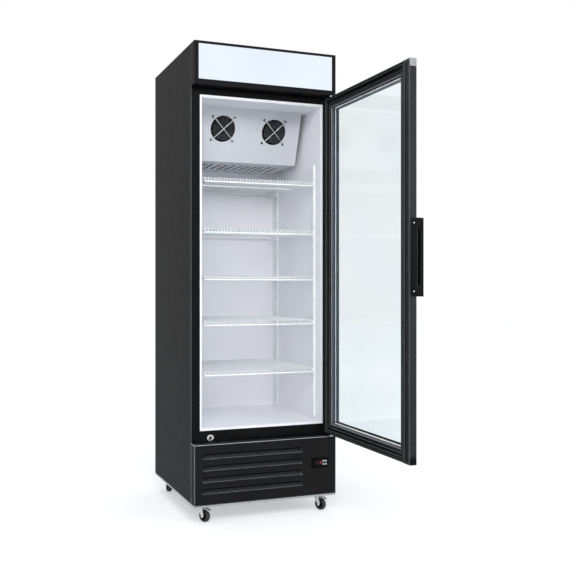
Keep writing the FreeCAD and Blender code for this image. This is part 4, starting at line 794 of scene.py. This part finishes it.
def plates(name, first, size, material, count, step):
    """A row of thin plates."""
    values = {"Size": size, "Count": count, "Step": step, "Material": material}
    return grown(name, [first], [], trees["plates"], values)


def cross_head():
    """A pan head with a cross recess, 1 m across until it is scaled: its base is at z = 0."""
    points = [round_place(radius, turn / head_steps, height) for radius, height in head_rings
              for turn in range(head_steps)]
    inner = len(points)
    for turn in range(head_steps):
        radius, height = recess_ring[turn % len(recess_ring)]
        points.append(round_place(radius, turn / head_steps, height))
    middle = len(points)
    points.append(Vector((0, 0, recess_floor)))
    faces = quads(len(head_rings) + 1, head_steps, False, True)
    faces += [(inner + turn, inner + (turn + 1) % head_steps, middle) for turn in range(head_steps)]
    faces.append(tuple(reversed(range(head_steps))))
    return shown("head_pattern", mesh_of("head_pattern", points, faces))


def heads(name, places, axis, material):
    """Screw heads on points, standing along an axis."""
    pattern = cross_head()
    values = {"Head": pattern, "Turn": upright(axis).to_euler(), "Scale": screw_head, "Material": material}
    made = grown(name, places, [], trees["heads"], values)
    bpy.data.objects.remove(pattern)
    return made


def ring_nest(name, places, axis, material):
    """A nest of wire rings round each place, square to an axis."""
    values = {"First": ring_first, "Gap": ring_step, "Count": ring_count, "Wire": ring_wire,
              "Turn": upright(axis).to_euler(), "Material": material}
    return grown(name, places, [], trees["rings"], values)


def attach(piece, body, slot, *nodes):
    """The piece moves with a body and may stand for CAD nodes, which it hides; its slot is not used."""
    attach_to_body(piece, body)
    if nodes:
        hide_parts(*nodes)
    return piece


def dress(material, *nodes):
    """Gives a material to CAD nodes that stay."""
    for name in nodes:
        mesh = frame["nodes"][name].data
        mesh.materials.clear()
        mesh.materials.append(material)


def softened(node_name, body, slot, material, width, second=None, second_below=0.0):
    """A copy of a CAD piece with its hard edges rolled over. A second material may cover its lower part."""
    mesh = frame["nodes"][node_name].data.copy()
    work = bmesh.new()
    work.from_mesh(mesh)
    bmesh.ops.remove_doubles(work, verts=work.verts, dist=weld_reach)
    bmesh.ops.dissolve_limit(work, angle_limit=math.radians(flat_angle), verts=work.verts, edges=work.edges)
    work.to_mesh(mesh)
    work.free()
    piece = shown(node_name + "_seed", mesh, material)
    if second:
        mesh.materials.append(second)
        for face in mesh.polygons:
            face.material_index = int(face.center.z < second_below)
    rounding = piece.modifiers.new("rounding", "BEVEL")
    rounding.width = width
    rounding.segments = rounding_segments
    rounding.limit_method = "ANGLE"
    rounding.angle_limit = math.radians(rounded_angle)
    return attach(plain(piece, node_name + "_finished"), body, slot, node_name)


def joint(name):
    """Place and axis of a joint of the frame."""
    found = next(entry for entry in frame["joints"] if entry["name"] == name)
    return Vector(found["pos_m"]), Vector(found["axis"]).normalized()


def wire_shelf(number, material):
    """A shelf: deck wires bent down over the front bar, with the bars that carry them."""
    node_name = "shelf_%d" % number
    low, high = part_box(node_name)
    deck = high.z - deck_wire
    half = high.x - deck_wire
    side = half - shelf_bar + deck_wire
    front = low.y + shelf_bar + deck_clear
    rear = high.y - deck_wire
    rear_bar = rear - shelf_bar
    front_bar = low.z + shelf_bar
    under = deck - deck_wire - shelf_bar
    pitch = 2 * side / (shelf_wire_count - 1)
    wires = rods(node_name + "_deck", [(-side, rear, deck), (-side, front, deck), (-side, front, front_bar)],
                 deck_wire, material, wire_sides, deck_bend, shelf_wire_count, (pitch, 0, 0))
    lip = [(-half, front, front_bar), (half, front, front_bar)]
    cross = [(-half, rear_bar, under), (half, rear_bar, under)]
    flank = [(-side, rear_bar, under), (-side, front + shelf_bar, under)]
    bars = ((lip, 1, (0, 0, 0)), (cross, 2, (0, (front - rear) / 2, 0)), (flank, 2, (2 * side, 0, 0)))
    pieces = [wires] + [rods(node_name + "_bar", path, shelf_bar, material, bar_sides, count=count, step=step)
                        for path, count, step in bars]
    return attach(joined(node_name + "_wires", pieces), "cabinet", "white_wire", node_name)


def blade_point(outward, along, radius):
    """A point of a twisted, cambered blade: outward goes from 0 at the hub to 1, along from -0.5 to 0.5."""
    root = fan_hub * blade_sink
    reach = root + (radius - root) * outward
    tip = max(0.0, (outward - tip_start) / (1 - tip_start))
    width = (blade_narrow + (1 - blade_narrow) * outward) * (1 - tip_taper * tip ** 2)
    sweep = math.radians(blade_sweep) * width
    pitch = math.radians(blade_pitch + blade_twist * (1 - outward))
    camber = blade_camber * radius * (0.25 - along * along) * outward
    rise = along * sweep * reach * math.tan(pitch) * blade_flat + camber
    limit = fan_height * blade_limit
    angle = along * sweep + blade_lean * outward
    return round_place(reach, angle / (2 * math.pi), max(-limit, min(limit, rise)))


def fan_rotor(name, body, node_name, radius, material):
    """A moulded rotor: a domed hub with twisted blades whose tips are rounded."""
    place, axis = joint(body + "_spin")
    shares = [(row / (blade_rows - 1), column / (blade_columns - 1) - 0.5)
              for row in range(blade_rows) for column in range(blade_columns)]
    points = []
    faces = []
    for blade in range(blade_count):
        turn = Matrix.Rotation(2 * math.pi * blade / blade_count, 4, "Z")
        faces += quads(blade_rows, blade_columns, start=len(points))
        points += [turn @ blade_point(outward, along, radius) for outward, along in shares]
    matrix = Matrix.Translation(place) @ upright(axis)
    mesh = bpy.data.meshes.new(name)
    mesh.from_pydata([tuple(matrix @ point) for point in points], [], faces)
    blades = shown(name + "_seed", mesh, material)
    thick = blades.modifiers.new("thickness", "SOLIDIFY")
    thick.thickness = blade_sheet
    thick.offset = 0
    blades = plain(blades, name + "_blades")
    dome = [(height * fan_height / 2, share * fan_hub) for height, share in hub_dome]
    cap = lathe(name + "_hub", dome, place, axis, material, hub_sides)
    return attach(joined(name, [blades, cap]), body, "black_plastic", node_name)


def guard(metal, dark, grey):
    """Bright wire crosses in front of the fan openings, their ends bent in under dark screwed feet."""
    pieces = []
    feet = []
    middles = []
    for side in ("left", "right"):
        place, axis = joint("fan_%s_spin" % side)
        up = axis.cross(Vector((1, 0, 0)))
        front = place + axis * guard_front
        middles.append(front + axis * ring_lift)
        for number, slope in enumerate((1, -1)):
            run = Vector((1, 0, 0)) + up * slope
            ends = [front - run * guard_half, front + run * guard_half]
            lift = guard_lift + number * 2 * guard_wire
            path = [ends[0] + axis * guard_wire, ends[0] + axis * lift, ends[1] + axis * lift,
                    ends[1] + axis * guard_wire]
            pieces.append(rods("guard_wire", path, guard_wire, metal, guard_sides, guard_bend))
            feet += ends
    pieces += [lathe("guard_foot", foot_outline, end, axis, dark, foot_sides) for end in feet]
    pieces.append(heads("guard_screw", [end + axis * foot_rise for end in feet], axis, dark))
    attach(joined("fan_guard_wires", pieces), "cabinet", "zinc_wire", "fan_guards")
    attach(ring_nest("fan_guard_rings", middles, axis, grey), "cabinet", "black_plastic")


def bellows_gasket(material):
    """Magnetic door gasket: a flanged foot, two folds and a flat magnet head, mitred round the door."""
    low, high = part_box("door_gasket")
    face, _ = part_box("door_frame")
    depth = face.x - low.x
    section = [(inset * MM, -share * depth) for inset, share in gasket_half]
    section += [(gasket_width - inset, offset) for inset, offset in reversed(section)]
    ring = mitred_ring("door_gasket_folded", section, face.x, low, high, material)
    return attach(ring, "door", "gasket_rubber", "door_gasket")


def glazing_bead(hard, soft):
    """The snapped-in bead between the gasket and the glass: two ribs, and a paler soft lip at the glass."""
    low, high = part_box("door_gasket")
    face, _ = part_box("door_frame")
    start = gasket_width + bead_gap
    rings = []
    for section, material in ((bead_ribs, hard), (bead_lip, soft)):
        placed = [(start + inset * MM, -rise * MM) for inset, rise in section]
        rings.append(mitred_ring("bead_ring", placed, face.x, low, high, material))
    return attach(joined("door_glazing_bead", rings), "door", "black_plastic")


def sealed_spacers(inner_metal, outer_metal, tape, butyl):
    """Two spacer rings between the panes with black butyl along their sides, and tape on the level bars."""
    low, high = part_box("glass_spacers")
    far_side = spacer_gap - seal_width
    seal_start = pane_clear + tape_thick
    pieces = []
    for start, metal in ((low.x, inner_metal), (high.x - spacer_gap, outer_metal)):
        strips = ((seal_width, far_side, metal), (seal_start, seal_width, butyl),
                  (far_side, spacer_gap - seal_start, butyl))
        for near, far, material in strips:
            section = [(0, near), (spacer_wide, near), (spacer_wide, far), (0, far)]
            pieces.append(mitred_ring("spacer_strip", section, start, low, high, material))
    near = low.x + pane_clear
    far = low.x + seal_start
    left = low.y + spacer_wide
    right = high.y - spacer_wide
    taped = [(near, left), (far, left), (far, right), (near, right)]
    for bottom in (low.z, high.z - tape_width):
        pieces.append(slab("spacer_tape", [taped], 2, bottom, bottom + tape_width, tape))
    return attach(joined("glass_spacers_sealed", pieces), "door", "aluminium_spacer", "glass_spacers")


def door_handle_screws(metal):
    """Two cross-head screws through the handle's flange."""
    low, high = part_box("handle_screws")
    reach = (high.x - low.x) / 2
    seat = low.y + head_rise * screw_head
    places = [((low.x + high.x) / 2, seat, z) for z in (low.z + reach, high.z - reach)]
    screws = heads("handle_cross_screws", places, (0, -1, 0), metal)
    return attach(screws, "door", "chrome_lock", "handle_screws")


def bracket_screws(metal):
    """Two screws in the upright leg of each hinge bracket."""
    face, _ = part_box("face_frame")
    for name, way in (("top_hinge_bracket", -1), ("bottom_hinge_bracket", 1)):
        low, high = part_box(name)
        start = (low.z if way > 0 else high.z) + way * bracket_edge
        places = [((low.x + high.x) / 2, face.y - bracket_sheet, start + way * step)
                  for step in bracket_screw_steps]
        attach(heads(name + "_screws", places, (0, -1, 0), metal), "cabinet", "zinc_plate")


def compressor_pot(paint):
    """Hermetic compressor: a drawn pot with a rolled weld seam and a domed top on a pressed foot plate."""
    low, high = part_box("compressor")
    tall = high.z - low.z - foot_plate
    seam = tall * seam_level
    wide = pot_radius + pot_seam
    outline = [(0, 0), (0, pot_radius - pot_foot_in), (pot_foot_up, pot_radius),
               (seam - seam_flare, pot_radius), (seam, wide), (seam + pot_seam, wide),
               (seam + pot_seam + seam_flare, pot_radius)]
    for step in range(crown_steps + 1):
        turn = math.radians(90 * step / crown_steps)
        outline.append((tall - pot_crown + pot_crown * math.sin(turn),
                        pot_radius - pot_crown + pot_crown * math.cos(turn)))
    outline.append((tall, 0))
    top = low.z + foot_plate
    middle = (low + high) / 2
    pot = lathe("compressor_shell", outline, (middle.x, middle.y, top), (0, 0, 1), paint, pot_sides)
    corners = []
    for x, y, way_x, way_y in ((low.x, low.y, 1, 1), (high.x, low.y, -1, 1), (high.x, high.y, -1, -1),
                               (low.x, high.y, 1, -1)):
        pair = [(x + way_x * foot_plate_corner, y), (x, y + way_y * foot_plate_corner)]
        corners += pair if way_x == -way_y else pair[::-1]
    plate = slab("compressor_foot_plate", [corners], 2, low.z, top, paint)
    return attach(joined("compressor_pot", [pot, plate]), "cabinet", "black_paint", "compressor")


def discharge_tube(metal):
    """Copper tube from the compressor over to the condenser, bent in smooth quarter turns."""
    low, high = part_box("refrigerant_pipe")
    pot_low, pot_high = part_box("compressor")
    _, coil_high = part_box("condenser_coil")
    pot = (pot_low + pot_high) / 2
    start_z = low.z + tube_radius
    run_x = high.x - tube_radius
    run_y = low.y + tube_radius
    top = high.z - tube_radius
    end_x = coil_high.x + tube_bend
    end_z = coil_high.z - inlet_drop
    path = [(pot.x + pot_radius - tube_sink, pot.y, start_z), (run_x, pot.y, start_z), (run_x, pot.y, top),
            (run_x, run_y, top), (end_x, run_y, top), (end_x, run_y, end_z), (low.x, run_y, end_z)]
    tube = rods("discharge_tube", path, tube_radius, metal, bar_sides, tube_bend)
    return attach(tube, "cabinet", "copper", "refrigerant_pipe")


def finned_coil(node_name, fin_count, loop_radius, tube, along_y, fins_metal, tube_metal):
    """A stack of thin fins with tubes through it that turn back at the right-hand side."""
    low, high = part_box(node_name)
    middle = (low + high) / 2
    deep = high.y - low.y
    tall = high.z - low.z
    step = (high.x - loop_radius - tube - low.x - fin_sheet) / (fin_count - 1)
    fins = plates(node_name + "_fins", (low.x + fin_sheet / 2, middle.y, middle.z), (fin_sheet, deep, tall),
                  fins_metal, fin_count, (step, 0, 0))
    pitch = (deep if along_y else tall) / loop_count
    turn_x = high.x - tube
    tubes = []
    for number in range(loop_count):
        offset = (number + 0.5) * pitch
        y = low.y + offset if along_y else middle.y
        z = middle.z if along_y else low.z + offset
        path = [(low.x, y, z - loop_radius), (turn_x, y, z - loop_radius), (turn_x, y, z + loop_radius),
                (low.x, y, z + loop_radius)]
        tubes.append(rods(node_name + "_tube", path, tube, tube_metal, loop_sides, loop_radius * loop_bend))
    return attach(joined(node_name + "_built", [fins] + tubes), "cabinet", "finned_aluminium", node_name)


def caster_wheel(corner, rubber, core):
    """A solid rubber tyre with rounded shoulders on a moulded core with a dished web."""
    name = "caster_wheel_" + corner
    place, axis = joint("caster_%s_roll" % corner)
    low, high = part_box(name)
    radius = (high.z - low.z) / 2
    side = [(tyre_half, radius * tyre_seat), (tyre_half * tyre_pinch, radius - tyre_wall)]
    seat = radius - tyre_shoulder
    turns = [math.radians(degrees) for degrees in range(-90, 91, 15)]
    shoulder = [(tyre_half * math.sin(turn), seat + tyre_shoulder * math.cos(turn)) for turn in turns]
    outline = [(-x, height) for x, height in side] + shoulder + side[::-1]
    tyre = lathe(name + "_tyre", outline, place, axis, rubber, wheel_sides, True)
    web_x = tyre_half - web_inset
    half = [(hub_half, hub_bore), (hub_half, hub_mouth), (hub_half - hub_bevel, hub_radius),
            (web_x, web_root), (web_x, radius * web_end)]
    half += [(tyre_half - inset, radius * share) for inset, share in rim_edges]
    outline = [(-x, height) for x, height in half] + half[::-1]
    middle = lathe(name + "_core", outline, place, axis, core, wheel_sides, True)
    return attach(joined(name + "_turned", [tyre, middle]), "wheel_" + corner, "wheel_rubber", name)


def digits(text, left, bottom, y, material):
    """Seven-segment figures on the display, leaning a little to the right."""
    outlines = []
    width = digit_width - digit_stroke
    height = digit_height - digit_stroke
    for place, figure in enumerate(text):
        x = left + place * (digit_width + digit_gap) + digit_stroke / 2
        for segment in figures[figure]:
            start, end = [Vector((across * width, up * height)) for across, up in segments[segment]]
            run = (end - start).normalized()
            side = Vector((-run.y, run.x)) * (digit_stroke / 2)
            trim = run * digit_stroke * digit_trim_share
            tip = run * digit_stroke * digit_tip_share
            outline = [start + tip, start + trim + side, end - trim + side, end - tip, end - trim - side,
                       start + trim - side]
            outlines.append([(x + spot.x + spot.y * digit_slant_share, bottom + digit_stroke / 2 + spot.y)
                             for spot in outline])
    return slab("display_digits", outlines, 1, y - mark_thick, y, material)


def display_glass(material):
    """A thin dark acrylic pane on the floor of the bezel's window, with the digits on it."""
    low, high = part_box("controller_bezel")
    left = low.x + window_start
    right = left + window_width
    middle = (low.z + high.z) / 2
    y = low.y + window_depth - mark_thick
    pane = [(left, middle - window_half), (right, middle - window_half), (right, middle + window_half),
            (left, middle + window_half)]
    attach(slab("display_pane", [pane], 1, y, y + mark_thick, material), "cabinet", "black_plastic")
    marks = digits("-18", left + digits_start, middle - digit_height / 2, y, red_segment())
    attach(marks, "cabinet", "black_plastic")


def camera():
    """The photograph's view."""
    data = bpy.data.cameras.new("camera")
    data.sensor_width = camera_sensor
    data.lens = camera_focal_px / image_px * camera_sensor
    data.shift_x = 0.5 - principal_x_px / image_px
    data.shift_y = principal_y_px / image_px - 0.5
    eye = bpy.data.objects.new("camera", data)
    eye.location = camera_place
    eye.rotation_euler = (math.radians(90), 0, math.radians(-camera_turn))
    bpy.context.scene.collection.objects.link(eye)
    bpy.context.scene.camera = eye


def lamp(name, place, target, width, height, power):
    """A soft box: a rectangular lamp that faces a point."""
    data = bpy.data.lights.new(name, "AREA")
    data.shape = "RECTANGLE"
    data.size = width
    data.size_y = height
    data.energy = power
    made = bpy.data.objects.new(name, data)
    made.location = place
    made.rotation_euler = (Vector(target) - Vector(place)).to_track_quat("-Z", "Y").to_euler()
    bpy.context.scene.collection.objects.link(made)


def seen_directly(tree):
    """1 for rays from the camera, from gloss and through glass."""
    path = node(tree, "ShaderNodeLightPath")
    seen = path.outputs["Is Camera Ray"]
    for ray in ("Is Glossy Ray", "Is Transmission Ray"):
        seen = node(tree, "ShaderNodeMath", {0: seen, 1: path.outputs[ray]}, operation="MAXIMUM")
    return seen


def studio():
    """White all round to the eye, with a plainer light on the object, and soft boxes."""
    world = bpy.data.worlds.new("studio")
    world.use_nodes = True
    bpy.context.scene.world = world
    tree = world.node_tree
    tree.nodes.clear()
    light = node(tree, "ShaderNodeBackground", {"Color": "#F2F5F8", "Strength": world_light})
    white = node(tree, "ShaderNodeBackground", {"Color": "#FFFFFF", "Strength": 1.0})
    mix = node(tree, "ShaderNodeMixShader", {0: seen_directly(tree), 1: light, 2: white})
    node(tree, "ShaderNodeOutputWorld", {"Surface": mix})
    for settings in lamps:
        lamp(*settings)


def floor():
    """A pale floor, white to the eye, that keeps a faint shadow under the freezer."""
    material = bpy.data.materials.new("painted_studio_floor")
    material.use_nodes = True
    tree = material.node_tree
    tree.nodes.clear()
    matte = node(tree, "ShaderNodeBsdfDiffuse", {"Color": "#DADCDD"})
    place = node(tree, "ShaderNodeTexCoord")
    reach = node(tree, "ShaderNodeVectorMath", {0: place.outputs["Object"]}, operation="LENGTH")
    lift = node(tree, "ShaderNodeMapRange", {"Value": reach.outputs["Value"], **floor_glow})
    strength = node(tree, "ShaderNodeMath", {0: seen_directly(tree), 1: lift}, operation="MULTIPLY")
    glow = node(tree, "ShaderNodeEmission", {"Color": "#FFFFFF", "Strength": strength})
    both = node(tree, "ShaderNodeAddShader", {0: matte, 1: glow})
    node(tree, "ShaderNodeOutputMaterial", {"Surface": both})
    corners = [(x * floor_half, y * floor_half, 0) for x, y in ((-1, -1), (1, -1), (1, 1), (-1, 1))]
    mesh = bpy.data.meshes.new("floor")
    mesh.from_pydata(corners, [], [(0, 1, 2, 3)])
    piece = shown("floor", mesh, material)


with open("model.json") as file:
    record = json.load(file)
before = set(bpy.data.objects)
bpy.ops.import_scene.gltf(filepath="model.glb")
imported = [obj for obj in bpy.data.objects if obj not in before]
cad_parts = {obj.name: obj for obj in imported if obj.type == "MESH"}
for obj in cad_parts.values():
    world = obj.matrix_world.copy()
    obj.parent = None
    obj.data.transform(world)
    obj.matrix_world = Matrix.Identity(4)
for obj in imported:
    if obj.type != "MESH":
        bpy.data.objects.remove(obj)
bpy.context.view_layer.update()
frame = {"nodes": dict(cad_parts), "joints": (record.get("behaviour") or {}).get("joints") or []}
bpy.context.scene.view_settings.view_transform = "Standard"

trees = {"rods": rod_row_tree(), "plates": plate_row_tree(), "heads": head_tree(), "rings": ring_nest_tree()}

# In the powder, PVC and ABS finishes below, the fourth colour is painted highlight on edges over painted
# shade in hollows, and a powder's last colour is painted light on faces that look up
powder = powder_coated_steel("powder_coated_steel_black", "#161617", "#18181A", "#85888B", 1.8, "#1C1C1E")
panel_powder = powder_coated_steel("powder_coated_panel_black", "#19191A", "#1C1C1D", "#F4F6F8", 3.0,
                                   "#2E3032", louvre_field)
ring_powder = powder_coated_steel("powder_coated_wire_grey", "#62656A", "#6C6F74", "#8C8F94", 0.3, "#74777C")
pvc = extruded_pvc("extruded_pvc_black", "#0F0F10", "#131314", "#5E6164", 0.05, 1.0)
door_pvc = extruded_pvc("extruded_door_pvc_black", "#131314", "#171719", "#A8ACAF", 0.22, 1.5)
bead_pvc = extruded_pvc("extruded_bead_pvc_grey", "#121315", "#18191B", "#868A8E", 0.04, 1.3)
lip_pvc = extruded_pvc("extruded_lip_pvc_grey", "#767A7E", "#82868A", "#9CA0A3", 0.04, 0.5)
abs_black = moulded_abs("moulded_abs_black", "#070708", "#0B0B0C", "#4A4D50", 0.05)
bezel_black = moulded_abs("moulded_abs_bezel_black", "#050506", "#08080A", "#1C1D1F", 0.03)
abs_pale = moulded_abs("moulded_abs_pale_grey", "#A0A5A9", "#ACB1B5", "#C4C8CB", 0.4)
abs_grey = moulded_abs("moulded_abs_silver_grey", "#7E8387", "#93979A", "#B4B8BB", 0.4)
white_wire = dipped_wire()
zinc = zinc_plate()
chrome = plated_casting("chromed_zinc_casting", "#B8BBBE", "#DCDEE0", 0.08)
dark_nickel = plated_casting("dark_nickel_casting", "#4A4D50", "#5E6164", 0.22)
fin_stock = finned_aluminium()
# The two spacers' last colour is painted shade on their faces that look up
inner_spacer = lacquered_spacer("lacquered_spacer_silver", "#8C97A2", "#9AA5AF", "#14171A")
outer_spacer = lacquered_spacer("lacquered_spacer_dark", "#2E3640", "#38414B", "#14171A")
tape = lacquered_spacer("spacer_tape_pale", "#F2F4F6", "#F8FAFB", "#F8FAFB")
copper = copper_tube()
machine = machine_enamel()
rubber = wheel_rubber()

dress(powder, "outer_shell", "canopy_housing")
dress(panel_powder, "grille_panel")
dress(pvc, "face_frame")
dress(door_pvc, "door_frame")
dress(vacuum_formed_hips(), "inner_liner")
dress(enamelled_sheet(), "evaporator_cover")
dress(moulded_white(), "shelf_standards", "shelf_clips", "hinge_bushes")
dress(zinc, "caster_plates")
dress(galvanised_sheet(), "back_panel", "base_frame", "condenser_fan_frame")
dress(machine, "evaporator_fan_motors")
dress(rubber, "compressor_feet")
dress(cast_foam(), "insulation")
dress(float_glass(), "glass_panes")
dress(lit_acrylic("opal_acrylic_lit", "#EAF3FD", 0.93), "canopy_panel")
dress(lit_acrylic("led_strip_lit", "#F4F8FF", 1.0), "canopy_leds")

for number in range(1, 6):
    wire_shelf(number, white_wire)
guard(zinc, abs_black, ring_powder)
for side in ("left", "right"):
    fan_rotor("fan_blades_" + side, "fan_" + side, "evaporator_fan_" + side, evaporator_fan_radius, abs_black)
fan_rotor("condenser_blades", "condenser_fan", "condenser_fan_blades", condenser_fan_radius, abs_black)
compressor_pot(machine)
discharge_tube(copper)
finned_coil("condenser_coil", condenser_fins, condenser_loop, condenser_tube, False, fin_stock, copper)
finned_coil("evaporator_coil", evaporator_fins, evaporator_loop, evaporator_tube, True, fin_stock, fin_stock)
bellows_gasket(soft_pvc())
glazing_bead(bead_pvc, lip_pvc)
sealed_spacers(inner_spacer, outer_spacer, tape, rubber)

softened("door_caps", "door", "grey_cap", abs_grey, cap_edge, abs_black, cap_split)
softened("door_handle", "door", "black_plastic", abs_black, handle_edge)
door_handle_screws(chrome)
softened("controller_bezel", "cabinet", "black_plastic", bezel_black, sheet_edge)
for number in range(1, 5):
    softened("controller_button_%d" % number, "button_%d" % number, "white_plastic", abs_pale, small_edge)
display_glass(display_window())
softened("lock_body", "cabinet", "chrome_lock", chrome, sheet_edge)
softened("lock_plug", "lock_cylinder", "chrome_lock", dark_nickel, plug_edge)
for node_name, width in (("cord_gland", small_edge), ("electrical_box", box_edge), ("drain_pan", small_edge)):
    softened(node_name, "cabinet", "black_plastic", abs_black, width)
for node_name in ("top_hinge_bracket", "bottom_hinge_bracket"):
    softened(node_name, "cabinet", "zinc_plate", zinc, sheet_edge)
bracket_screws(zinc)
for side in ("left", "right"):
    softened("brake_pedal_" + side, "pedal_" + side, "zinc_plate", zinc, small_edge)
for corner in ("front_left", "front_right", "rear_left", "rear_right"):
    softened("caster_fork_" + corner, "swivel_" + corner, "zinc_plate", zinc, small_edge)
    caster_wheel(corner, rubber, abs_black)

camera()
studio()
floor()
